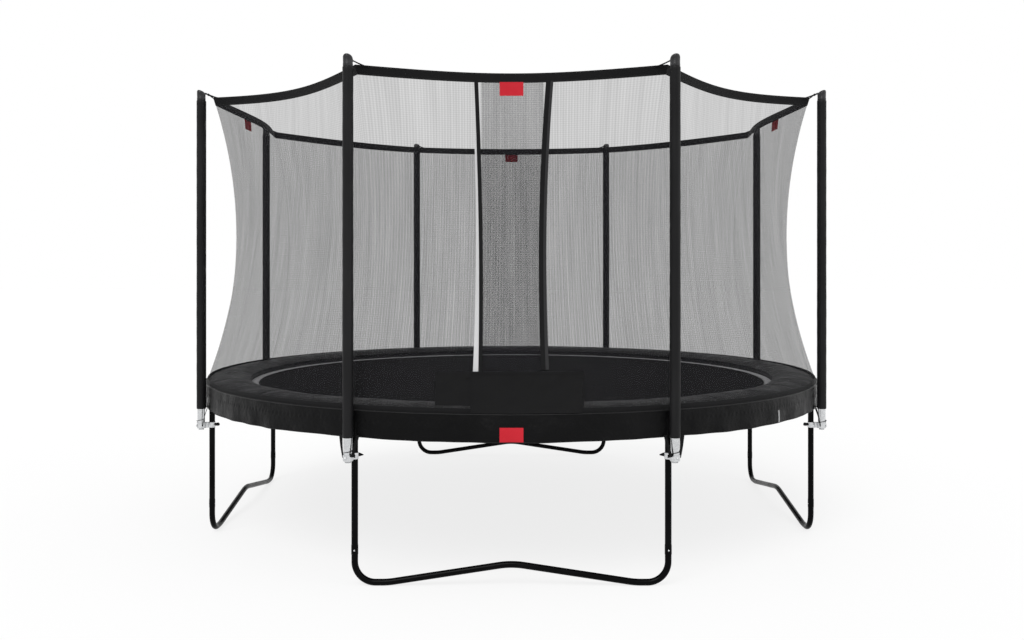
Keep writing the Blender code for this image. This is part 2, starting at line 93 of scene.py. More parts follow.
def uprights() -> list[tuple[str, float]]:
    """Name and direction of each pole and of the leg upright behind it.

    Returns:
        Eight (name, angle) pairs, named as the frame names its poles.
    """
    found = []
    for index, side in enumerate(SIDES):
        after = SIDES[(index + 1) % 4]
        found.append((f"{side}_{after}", side_angle(index) + SPREAD))
        found.append((f"{after}_{side}", side_angle(index + 1) - SPREAD))
    return found


def panels() -> list[tuple[str, float, float]]:
    """Name, middle direction and half width of each stretch between two poles.

    Returns:
        Eight (name, angle, half angle) triples.
    """
    found = []
    for index, side in enumerate(SIDES):
        found.append((side, side_angle(index), SPREAD))
        link = f"{side}_{SIDES[(index + 1) % 4]}"
        found.append((link, side_angle(index) + QUARTER / 2, QUARTER / 2 - SPREAD))
    return found


# ------------------------------------------------------------------ shapes


def polar(radius: Points, angle: Points, height: Points) -> Points:
    """Points at a radius and an angle about the middle, at a height."""
    radius, angle, height = np.broadcast_arrays(radius, angle, height)
    return np.stack([radius * np.cos(angle), radius * np.sin(angle), height], axis=-1)


def turned(points: Points, angle: float) -> Points:
    """The points turned about the upright line through the middle."""
    c, s = math.cos(angle), math.sin(angle)
    return points @ np.array([[c, s, 0.0], [-s, c, 0.0], [0.0, 0.0, 1.0]])


def unit(vectors: Points) -> Points:
    """The vectors at length one."""
    return vectors / np.maximum(np.linalg.norm(vectors, axis=-1, keepdims=True), 1e-12)


def smooth_noise(u: Points, v: Points, seed: int, waves: int = 7) -> Points:
    """Soft ripples between -1 and 1: a sum of sine waves with seeded directions and phases."""
    rng = np.random.default_rng(seed)
    total = np.zeros(np.broadcast(u, v).shape)
    for _ in range(waves):
        a, b = rng.normal(size=2)
        total = total + np.sin(a * u + b * v + rng.uniform(0, math.tau))
    return total / math.sqrt(waves) / 1.5


@dataclass
class Shell:
    """Closed surfaces gathered into one mesh, with a UV map in metres."""

    points: list[Points] = field(default_factory=list)
    faces: list[Points] = field(default_factory=list)
    uvs: list[Points] = field(default_factory=list)
    count: int = 0

    def _add(self, points: Points) -> int:
        """Takes points and returns the number of the first."""
        first = self.count
        self.points.append(points.reshape(-1, 3))
        self.count += len(self.points[-1])
        return first

    def _quads(self, index: Points, u: Points, v: Points) -> None:
        """Adds a quad for each cell of a grid of point numbers, with the corners' UVs."""
        corners = ((0, 0), (1, 0), (1, 1), (0, 1))
        rows, cols = index.shape
        cells = [index[i : rows - 1 + i, j : cols - 1 + j].ravel() for i, j in corners]
        grids = np.meshgrid(u, v, indexing="ij")
        maps = [
            np.stack([g[i : rows - 1 + i, j : cols - 1 + j].ravel() for g in grids], axis=-1)
            for i, j in corners
        ]
        self.faces.append(np.stack(cells, axis=-1))
        self.uvs.append(np.stack(maps, axis=1))

    def grid(
        self,
        points: Points,
        size: tuple[float, float],
        round_u: bool = False,
        round_v: bool = False,
    ) -> Points:
        """Adds a grid of points as a surface.

        Args:
            points: The grid, of shape (u, v, 3).
            size: The grid's length in metres along u and along v, for the UV map.
            round_u: Whether the last row joins the first.
            round_v: Whether the last column joins the first.

        Returns:
            The number of each point, of shape (u, v).
        """
        rows, cols = points.shape[:2]
        index = self._add(points) + np.arange(rows * cols).reshape(rows, cols)
        wide = np.vstack([index, index[:1]]) if round_u else index
        wide = np.hstack([wide, wide[:, :1]]) if round_v else wide
        u = np.linspace(0, size[0], wide.shape[0])
        v = np.linspace(0, size[1], wide.shape[1])
        self._quads(wide, u, v)
        return index

    def fan(self, ring: Points, middle: Points, flip: bool) -> None:
        """Closes a ring of point numbers with triangles to a middle point."""
        centre = self._add(np.asarray(middle, float).reshape(1, 3))
        after = np.roll(ring, -1)
        hub = np.full(len(ring), centre)
        rim = (after, ring) if flip else (ring, after)
        self.faces.append(np.stack([*rim, hub], axis=-1))
        self.uvs.append(np.zeros((len(ring), 3, 2)))

    def tube(
        self,
        path: Points,
        radius: float | Points,
        sides: int = 16,
        closed: bool = False,
        squash: float = 1.0,
        up: Sequence[float] = (0.0, 0.0, 1.0),
    ) -> None:
        """Adds a round tube whose middle follows a path.

        Each ring is the circle radius * (cos t * a + sin t * b), with a and b square to the
        path: b is the path's direction crossed with up, and a is square to both.

        Args:
            path: The points of the middle line.
            radius: The tube's radius, or one for each point.
            sides: Points round the tube.
            closed: Whether the path returns to its start.
            squash: Thickness along a as a share of the width along b.
            up: A direction that the path never runs along.
        """
        path = np.asarray(path, float)
        if closed:
            along = np.roll(path, -1, axis=0) - np.roll(path, 1, axis=0)
        else:
            along = np.gradient(path, axis=0)
        along = unit(along)
        b = unit(np.cross(along, np.asarray(up, float)))
        a = np.cross(b, along) * squash
        t = np.linspace(0, math.tau, sides, endpoint=False)
        reach = np.broadcast_to(radius, len(path))[:, None, None]
        ring = np.cos(t)[None, :, None] * a[:, None] + np.sin(t)[None, :, None] * b[:, None]
        points = path[:, None] + reach * ring
        length = float(np.linalg.norm(np.diff(path, axis=0), axis=1).sum())
        size = (length, math.tau * float(np.mean(radius)))
        index = self.grid(points, size, round_u=closed, round_v=True)
        if not closed:
            self.fan(index[0], path[0], flip=True)
            self.fan(index[-1], path[-1], flip=False)

    def turning(self, profile: Points, middle: Sequence[float], sides: int = 32) -> None:
        """Adds a (radius, height) profile spun about an upright line, closed at both ends.

        Args:
            profile: The (radius, height) corners from one end of the line to the other.
            middle: The (x, y) of the line.
            sides: Points round the line.
        """
        profile = np.asarray(profile, float)
        t = np.linspace(0, math.tau, sides, endpoint=False)
        points = polar(profile[:, :1], t[None], profile[:, 1:])
        points[..., 0] += middle[0]
        points[..., 1] += middle[1]
        length = float(np.linalg.norm(np.diff(profile, axis=0), axis=1).sum())
        index = self.grid(points, (length, math.tau * float(profile[:, 0].max())), round_v=True)
        self.fan(index[0], points[0].mean(axis=0), flip=True)
        self.fan(index[-1], points[-1].mean(axis=0), flip=False)

    def slab(
        self, face: Points, back: Points, size: tuple[float, float], round_u: bool = False
    ) -> None:
        """Adds a closed sheet between two grids of the same shape.

        Args:
            face: The outer grid, of shape (u, v, 3).
            back: The inner grid.
            size: The sheet's length in metres along u and along v.
            round_u: Whether the sheet's last row joins its first.
        """
        rows, cols = face.shape[:2]
        loop = np.concatenate([face, back[:, ::-1]], axis=1)
        index = self._add(loop) + np.arange(rows * cols * 2).reshape(rows, cols * 2)
        wide = np.vstack([index, index[:1]]) if round_u else index
        wide = np.hstack([wide, wide[:, :1]])
        v = np.linspace(0, size[1], cols)
        self._quads(wide, np.linspace(0, size[0], len(wide)), np.concatenate([v, v[::-1], v[:1]]))
        if not round_u:
            for row, flip in ((index[0], True), (index[-1], False)):
                ends = np.stack([row[:cols], row[: cols - 1 : -1]])
                ends = ends if flip else ends[::-1]
                self._quads(ends, np.zeros(2), v)

    def turned_copies(self, angles: Sequence[float]) -> "Shell":
        """A shell that holds this one at each angle about the middle."""
        copies = Shell()
        points, start = np.concatenate(self.points), 0
        for angle in angles:
            copies.points.append(turned(points, angle))
            copies.faces += [faces + start for faces in self.faces]
            copies.uvs += self.uvs
            start += len(points)
        copies.count = start
        return copies

    def build(self, name: str, angle: float = 0.0, smooth: float = 40.0) -> bpy.types.Object:
        """Makes the mesh object, with every face pointing outwards.

        Args:
            name: The piece's name.
            angle: How far the piece is turned about the middle.
            smooth: Edges sharper than this many degrees stay sharp.

        Returns:
            The object, at the origin.
        """
        points = turned(np.concatenate(self.points), angle)
        if self._volume(points) < 0:
            self.faces = [faces[:, ::-1] for faces in self.faces]
            self.uvs = [uv[:, ::-1] for uv in self.uvs]
        corners = np.concatenate([faces.ravel() for faces in self.faces])
        sizes = np.concatenate([np.full(len(f), f.shape[1]) for f in self.faces])
        mesh = bpy.data.meshes.new(name)
        mesh.vertices.add(len(points))
        mesh.vertices.foreach_set("co", points.ravel())
        mesh.loops.add(len(corners))
        mesh.loops.foreach_set("vertex_index", corners)
        mesh.polygons.add(len(sizes))
        mesh.polygons.foreach_set("loop_start", np.cumsum(sizes) - sizes)
        layer = mesh.uv_layers.new(name="metres")
        layer.data.foreach_set("uv", np.concatenate([uv.reshape(-1, 2) for uv in self.uvs]).ravel())
        mesh.update(calc_edges=True)
        mesh.shade_smooth()
        mesh.set_sharp_from_angle(angle=math.radians(smooth))
        made = bpy.data.objects.new(name, mesh)
        bpy.context.scene.collection.objects.link(made)
        return made

    def _volume(self, points: Points) -> float:
        """Six times the volume inside the faces, negative where they point inwards."""
        total = 0.0
        for faces in self.faces:
            corner = points[faces]
            for k in range(1, faces.shape[1] - 1):
                cross = np.cross(corner[:, k], corner[:, k + 1])
                total += float((corner[:, 0] * cross).sum())
        return total


def rounded_path(corners: Sequence[tuple[float, float, float]], step: float = 0.008) -> Points:
    """A plane path through (x, y, radius) corners, each inner corner an arc of its radius.

    The arc starts radius * tan(bend / 2) before its corner. Straight runs and arcs alike are
    cut into steps of about the given length.
    """
    flat = np.array([corner[:2] for corner in corners], float)
    path = [flat[0]]
    for before, here, after, radius in zip(flat, flat[1:], flat[2:], [c[2] for c in corners[1:]]):
        come, leave = unit(here - before), unit(after - here)
        bend = math.atan2(come[0] * leave[1] - come[1] * leave[0], float(come @ leave))
        start = here - come * radius * math.tan(abs(bend) / 2)
        centre = start + math.copysign(radius, bend) * np.array([-come[1], come[0]])
        turns = np.linspace(0, bend, max(3, int(abs(bend) * radius / step)))
        c, s = np.cos(turns), np.sin(turns)
        arm = start - centre
        path += list(centre + np.stack([c * arm[0] - s * arm[1], s * arm[0] + c * arm[1]], axis=-1))
    path.append(flat[-1])
    return np.array(path)


# ------------------------------------------------------------------ finishes


@dataclass
class Graph:
    """A material's node tree, with short calls to add and join nodes."""

    name: str

    def __post_init__(self) -> None:
        """Starts the material with its Principled shader."""
        self.material = bpy.data.materials.new(self.name)
        self.material.use_nodes = True
        self.tree = self.material.node_tree
        self.shader = self.tree.nodes["Principled BSDF"]

    def add(self, kind: str, props: dict | None = None, **inputs: object) -> bpy.types.Node:
        """Adds a node.

        Args:
            kind: The node's type without the word ShaderNode.
            props: The node's own properties.
            **inputs: Values or sockets for its inputs, with _ for a space, or in0, in1 by number.

        Returns:
            The node.
        """
        node = self.tree.nodes.new("ShaderNode" + kind)
        for key, value in (props or {}).items():
            setattr(node, key, value)
        for key, value in inputs.items():
            name = int(key[2:]) if key[:2] == "in" and key[2:].isdigit() else key.replace("_", " ")
            self.put(node.inputs[name], value)
        return node

    def put(self, socket: bpy.types.NodeSocket, value: object) -> None:
        """Links a socket to another, or sets its value."""
        if isinstance(value, bpy.types.NodeSocket):
            self.tree.links.new(value, socket)
        else:
            socket.default_value = value

    def surface(self, **inputs: object) -> None:
        """Sets or links the Principled shader's inputs, with _ for a space."""
        for key, value in inputs.items():
            self.put(self.shader.inputs[key.replace("_", " ")], value)

    def place(self, scale: Sequence[float] = (1, 1, 1), uv: bool = False) -> bpy.types.NodeSocket:
        """Object or UV coordinates in metres, times a scale."""
        source = self.add("TexCoord").outputs["UV" if uv else "Object"]
        return self.add("Mapping", Vector=source, Scale=tuple(scale)).outputs[0]

    def noise(self, where: bpy.types.NodeSocket, scale: float, detail: float = 3.0) -> bpy.types.NodeSocket:
        """A noise between 0 and 1."""
        return self.add("TexNoise", Vector=where, Scale=scale, Detail=detail).outputs[0]

    def wave(self, where: bpy.types.NodeSocket, scale: float, axis: str) -> bpy.types.NodeSocket:
        """Sine bands across an axis, scale / 20 * tau of them to the metre."""
        props = {"wave_type": "BANDS", "bands_direction": axis}
        return self.add("TexWave", props, Vector=where, Scale=scale).outputs[1]

    def math(self, how: str, *values: object) -> bpy.types.NodeSocket:
        """A Math node."""
        return self.add("Math", {"operation": how}, **{f"in{k}": v for k, v in enumerate(values)}).outputs[0]

    def span(self, value: bpy.types.NodeSocket, low: float, high: float,
             start: float = 0.0, end: float = 1.0) -> bpy.types.NodeSocket:
        """The value's stretch from start to end spread over low to high."""
        node = self.add("MapRange", Value=value, in1=start, in2=end, in3=low, in4=high)
        return node.outputs[0]

    def blend(self, share: bpy.types.NodeSocket, first: object, second: object) -> bpy.types.NodeSocket:
        """A colour between two, by a share from 0 to 1."""
        node = self.add("Mix", {"data_type": "RGBA"}, in0=share)
        for number, value in ((6, first), (7, second)):
            colour = (*value, 1.0) if isinstance(value, tuple) else value
            self.put(node.inputs[number], colour)
        return node.outputs[2]

    def bump(self, height: bpy.types.NodeSocket, distance: float, strength: float = 1.0,
             below: bpy.types.NodeSocket | None = None) -> bpy.types.NodeSocket:
        """A Bump node over an earlier one, with its distance in metres."""
        node = self.add("Bump", Height=height, Distance=distance, Strength=strength)
        if below is not None:
            self.put(node.inputs["Normal"], below)
        return node.outputs[0]


@dataclass(frozen=True)
class Paint:
    """Gloss black paint: a soft orange peel, with dust that dulls it in patches."""

    name: str = "gloss_black_paint"
    colour: Colour = (0.0014, 0.0014, 0.0016)
    dusty: Colour = (0.0035, 0.0035, 0.0038)
    shine: float = 0.05

    def material(self) -> bpy.types.Material:
        """Builds the node material."""
        g = Graph(self.name)
        where = g.place()
        patches = g.noise(where, 9.0)
        g.surface(
            Base_Color=g.blend(g.span(patches, 0, 1, 0.45, 0.8), self.colour, self.dusty),
            Roughness=g.span(patches, 0.16, 0.34, 0.35, 0.75),
            Specular_IOR_Level=self.shine,
            Normal=g.bump(g.noise(where, 420.0, 1.0), 0.0004, 0.25),
        )
        return g.material


@dataclass(frozen=True)
class Zinc:
    """Galvanised steel: pale crystals of slightly differing tone and shine, and drawn streaks."""

    name: str = "galvanised_steel"
    light: Colour = (0.66, 0.67, 0.68)
    dark: Colour = (0.52, 0.53, 0.54)
    crystal: float = 120.0

    def material(self) -> bpy.types.Material:
        """Builds the node material."""
        g = Graph(self.name)
        where = g.place()
        cell = g.add("TexVoronoi", Vector=where, Scale=self.crystal)
        tone = g.add("SeparateColor", in0=cell.outputs["Color"]).outputs[0]
        streak = g.noise(g.place((90.0, 90.0, 4.0)), 1.0)
        g.surface(
            Base_Color=g.blend(g.span(g.math("ADD", tone, streak), 0, 1, 0.3, 1.6), self.dark, self.light),
            Metallic=1.0,
            Roughness=g.span(tone, 0.22, 0.30),
            Normal=g.bump(streak, 0.0004, 0.3),
        )
        return g.material


@dataclass(frozen=True)
class Foam:
    """Black closed-cell foam in a tight skin: fine pores and a low sheen."""

    name: str = "black_foam_sleeve"
    colour: Colour = (0.0050, 0.0050, 0.0054)
    worn: Colour = (0.0100, 0.0100, 0.0106)
    shine: float = 0.13

    def material(self) -> bpy.types.Material:
        """Builds the node material."""
        g = Graph(self.name)
        where = g.place()
        pores = g.noise(where, 700.0, 2.0)
        drift = g.noise(g.place((12.0, 12.0, 2.0)), 1.0)
        g.surface(
            Base_Color=g.blend(g.span(drift, 0, 1, 0.35, 0.7), self.colour, self.worn),
            Roughness=g.span(pores, 0.38, 0.56, 0.3, 0.7),
            Specular_IOR_Level=self.shine,
            Normal=g.bump(pores, 0.0006, 0.5, g.bump(drift, 0.004, 0.3)),
        )
        return g.material


@dataclass(frozen=True)
class Plastic:
    """Moulded plastic with a fine spark-eroded grain."""

    name: str
    colour: Colour
    rough: tuple[float, float] = (0.30, 0.44)
    grain: float = 900.0
    shine: float = 0.25

    def material(self) -> bpy.types.Material:
        """Builds the node material."""
        g = Graph(self.name)
        where = g.place()
        grain = g.noise(where, self.grain, 2.0)
        wear = g.noise(where, 26.0)
        paler = tuple(min(1.0, c * 1.5 + 0.008) for c in self.colour)
        g.surface(
            Base_Color=g.blend(g.span(wear, 0, 1, 0.5, 0.85), self.colour, paler),
            Roughness=g.span(wear, *self.rough, 0.3, 0.7),
            Specular_IOR_Level=self.shine,
            Normal=g.bump(grain, 0.0003, 0.4),
        )
        return g.material


@dataclass(frozen=True)
class CoatedCloth:
    """PVC-coated cloth: the weave shows through the film as a fine grid, with soft creases."""

    name: str
    colour: Colour
    worn: Colour
    rough: tuple[float, float] = (0.30, 0.46)
    crease: float = 0.010
    shine: float = 0.22

    def material(self) -> bpy.types.Material:
        """Builds the node material."""
        g = Graph(self.name)
        where = g.place()
        uv = g.place(uv=True)
        weave = g.math("MULTIPLY", g.wave(uv, 240.0, "X"), g.wave(uv, 240.0, "Y"))
        creases = g.noise(where, 11.0, 5.0)
        patches = g.noise(where, 3.1, 4.0)
        folds = g.bump(creases, self.crease, 0.55)
        g.surface(
            Base_Color=g.blend(g.span(patches, 0, 1, 0.35, 0.7), self.colour, self.worn),
            Roughness=g.span(creases, *self.rough, 0.3, 0.7),
            Specular_IOR_Level=self.shine,
            Normal=g.bump(weave, 0.0005, 0.35, folds),
        )
        return g.material


@dataclass(frozen=True)
class Weave:
    """Cloth of crossing yarns, bumped and toned by the yarns, on the piece's UV map."""

    name: str
    colour: Colour
    pale: Colour
    pitch: float = 0.0012
    rough: float = 0.7
    sheen: float = 0.0
    shine: float = 0.12

    def material(self) -> bpy.types.Material:
        """Builds the node material: two sets of sine bands taken against each other."""
        g = Graph(self.name)
        uv = g.place(uv=True)
        scale = math.tau / self.pitch / 20.0
        warp, weft = g.wave(uv, scale, "X"), g.wave(uv, scale, "Y")
        yarns = g.math("ABSOLUTE", g.math("SUBTRACT", warp, weft))
        drift = g.noise(g.place(), 4.0, 4.0)
        tone = g.math("MULTIPLY", yarns, g.span(drift, 0.4, 1.0, 0.3, 0.7))
        g.surface(
            Base_Color=g.blend(tone, self.colour, self.pale),
            Roughness=self.rough,
            Sheen_Weight=self.sheen,
            Specular_IOR_Level=self.shine,
            Normal=g.bump(yarns, self.pitch * 0.35, 0.6),
        )
        return g.material


@dataclass(frozen=True)
class NetMesh:
    """Knitted mesh: columns of dark stitches with holes between them, which let light through.

    The holes are drawn as alpha. Cover is the share that the yarn hides, on average.
    """

    name: str
    colour: Colour = (0.016, 0.016, 0.018)
    cover: float = 0.232
    contrast: float = 0.045
    column: float = 0.0150
    row: float = 0.0110

    def material(self) -> bpy.types.Material:
        """Builds the node material: stitch columns along V, dotted by rows, in uneven streaks."""
        g = Graph(self.name)
        uv = g.place(uv=True)
        columns = g.wave(uv, math.tau / self.column / 20.0, "X")
        rows = g.wave(uv, math.tau / self.row / 20.0, "Y")
        knit = g.math("MULTIPLY_ADD", rows, 0.38, g.math("MULTIPLY", columns, 0.62))
        streaks = g.noise(g.place((42.0, 1.6, 1.0), uv=True), 1.0, 3.0)
        wide = g.noise(g.place((5.0, 0.7, 1.0), uv=True), 1.0, 2.0)
        fine, broad = g.span(streaks, -0.022, 0.032, 0.3, 0.75), g.span(wide, -0.015, 0.015, 0.3, 0.7)
        uneven = g.math("ADD", fine, broad)
        low, high = self.cover - self.contrast, self.cover + self.contrast
        g.surface(
            Base_Color=(*self.colour, 1.0),
            Roughness=0.8,
            Specular_IOR_Level=0.05,
            Alpha=g.math("ADD", g.span(knit, low, high), uneven),
            Normal=g.bump(knit, 0.0008, 0.5),
        )
        return g.material


# ------------------------------------------------------------------ reporting


def settle(
    piece: bpy.types.Object,
    finish: bpy.types.Material,
    nodes: Sequence[str] = (),
    body: Body | None = Body.FRAME,
) -> bpy.types.Object:
    """Dresses a piece, ties it to its body and reports it.

    Args:
        piece: The piece.
        finish: Its material.
        nodes: The CAD nodes that it stands for.
        body: The body that it rides on, or None to tie it to no body.

    Returns:
        The piece.
    """
    piece.data.materials.clear()
    piece.data.materials.append(finish)
    if body is not None:
        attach(piece, body.value)
    if nodes:
        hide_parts(*nodes)
    LOG.info("%s: %d faces", piece.name, len(piece.data.polygons))
    return piece


# ------------------------------------------------------------------ frame and legs


@dataclass
class RingFrame:
    """The tube ring: four arcs that carry the legs in sockets, and four that link them."""

    radius: float = 1.880
    height: float = 0.819
    tube: float = 0.019
    beyond: float = 0.130
    socket: float = 0.0188
    socket_drop: float = 0.084
    weld: float = 0.0032

    def arc_half(self) -> float:
        """Half the angle of an arc that carries a leg."""
        return SPREAD + self.beyond / self.radius

    def arc(self, half: float) -> Points:
        """Middle line of an arc about +X: a circle at the ring's height."""
        a = np.linspace(-half, half, 72)
        return polar(np.full(1, self.radius), a, np.full(1, self.height))

    def leg_arc(self) -> Shell:
        """Arc with a socket under it at each upright and a bead of weld round the joint."""
        shell = Shell()
        gap = 0.0006 / self.radius
        shell.tube(self.arc(self.arc_half() - gap), self.tube, 24)
        for sign in (-1, 1):
            x, y = self.radius * math.cos(SPREAD), sign * self.radius * math.sin(SPREAD)
            low, high = self.height - self.socket_drop, self.height - self.tube * 0.55
            inner, lip = self.socket - 0.0022, 0.0008
            shell.turning(
                np.array([
                    (inner, high), (inner, low + lip), (inner + lip, low), (self.socket - lip, low),
                    (self.socket, low + lip), (self.socket, high - 0.004),
                    (self.socket + 0.001, high),
                ]),
                (x, y), 28,
            )
            self._weld(shell, x, y)
        return shell

    def _weld(self, shell: Shell, x: float, y: float) -> None:
        """Bead along the saddle line where the socket's pipe meets the ring tube.

        A point of the pipe at an angle t stands where the ring tube's underside is, at
        height - sqrt(tube^2 - offset^2), with offset its distance across the ring.
        """
        t = np.linspace(0, math.tau, 48, endpoint=False)
        px, py = x + self.socket * np.cos(t), y + self.socket * np.sin(t)
        offset = np.clip(np.hypot(px, py) - self.radius, -0.98 * self.tube, 0.98 * self.tube)
        z = self.height - np.sqrt(self.tube**2 - offset**2) - 0.0005
        size = self.weld * (0.5 + 0.10 * np.sin(17 * t))
        shell.tube(np.stack([px, py, z], axis=-1), size, 8, closed=True, up=(0.31, 0.22, 0.9))

    def link_arc(self) -> Shell:
        """Arc between two leg arcs."""
        shell = Shell()
        half = QUARTER / 2 - self.arc_half() - 0.0006 / self.radius
        shell.tube(self.arc(half), self.tube, 24)
        return shell

    def build(self, paint: bpy.types.Material) -> None:
        """Makes the eight arcs."""
        for index, side in enumerate(SIDES):
            arc = self.leg_arc().build(f"ring_arc_{side}", side_angle(index))
            settle(arc, paint, [f"frame_arc_{side}"])
            link = f"{side}_{SIDES[(index + 1) % 4]}"
            piece = self.link_arc().build(f"ring_link_{link}", side_angle(index) + QUARTER / 2)
            settle(piece, paint, [f"frame_link_{link}"])


@dataclass
class WLegs:
    """Four legs: two uprights joined by a bent tube that arches between its two feet."""

    radius: float = 1.880
    tube: float = 0.016
    top: float = 0.7975
    bend: float = 0.100
    flat: float = 0.060
    arch: float = 0.090
    arch_bend: float = 0.400
    collar: float = 0.055

    def path(self) -> Points:
        """Middle line of the leg about +X, in its upright plane."""
        half, low = self.radius * math.sin(SPREAD), self.tube
        toe = half - self.bend - self.flat
        flat = rounded_path([
            (-half, self.top, 0), (-half, low, self.bend), (-toe, low, self.arch_bend),
            (0, low + self.arch, self.arch_bend), (toe, low, self.arch_bend),
            (half, low, self.bend), (half, self.top, 0),
        ], 0.007)
        plane = np.full(len(flat), self.radius * math.cos(SPREAD))
        return np.stack([plane, flat[:, 0], flat[:, 1]], axis=-1)

    def shell(self) -> Shell:
        """The leg's tube, with a swaged collar where each upright slides over the foot tube."""
        shell = Shell()
        shell.tube(self.path(), self.tube, 24, up=(1, 0, 0))
        half = self.radius * math.sin(SPREAD)
        grow, low, high = 0.0011, 0.150, 0.150 + self.collar
        for sign in (-1, 1):
            shell.turning(
                np.array([
                    (self.tube - 0.001, low), (self.tube + grow, low + 0.001),
                    (self.tube + grow, high - 0.012), (self.tube - 0.0005, high),
                ]),
                (self.radius * math.cos(SPREAD), sign * half), 28,
            )
        return shell

    def rivets(self) -> Shell:
        """Dome heads of the screws that pin each collar, on its inward and outward side."""
        shell = Shell()
        x, half = self.radius * math.cos(SPREAD), self.radius * math.sin(SPREAD)
        for sign in (-1, 1):
            for face in (-1, 1):
                rise = (0, 0.0016, 0.0024)
                path = np.array([(x + face * (self.tube + d), sign * half, 0.172) for d in rise])
                shell.tube(path, np.array([0.0042, 0.0040, 0.0022]), 12, up=(0, 0, 1))
        return shell

    def build(self, paint: bpy.types.Material, zinc: bpy.types.Material) -> None:
        """Makes the four legs and their screws."""
        for index, side in enumerate(SIDES):
            leg = self.shell().build(f"w_leg_{side}", side_angle(index))
            settle(leg, paint, [f"leg_{side}"])
            screws = self.rivets().build(f"leg_screws_{side}", side_angle(index))
            settle(screws, zinc)


# ------------------------------------------------------------------ poles


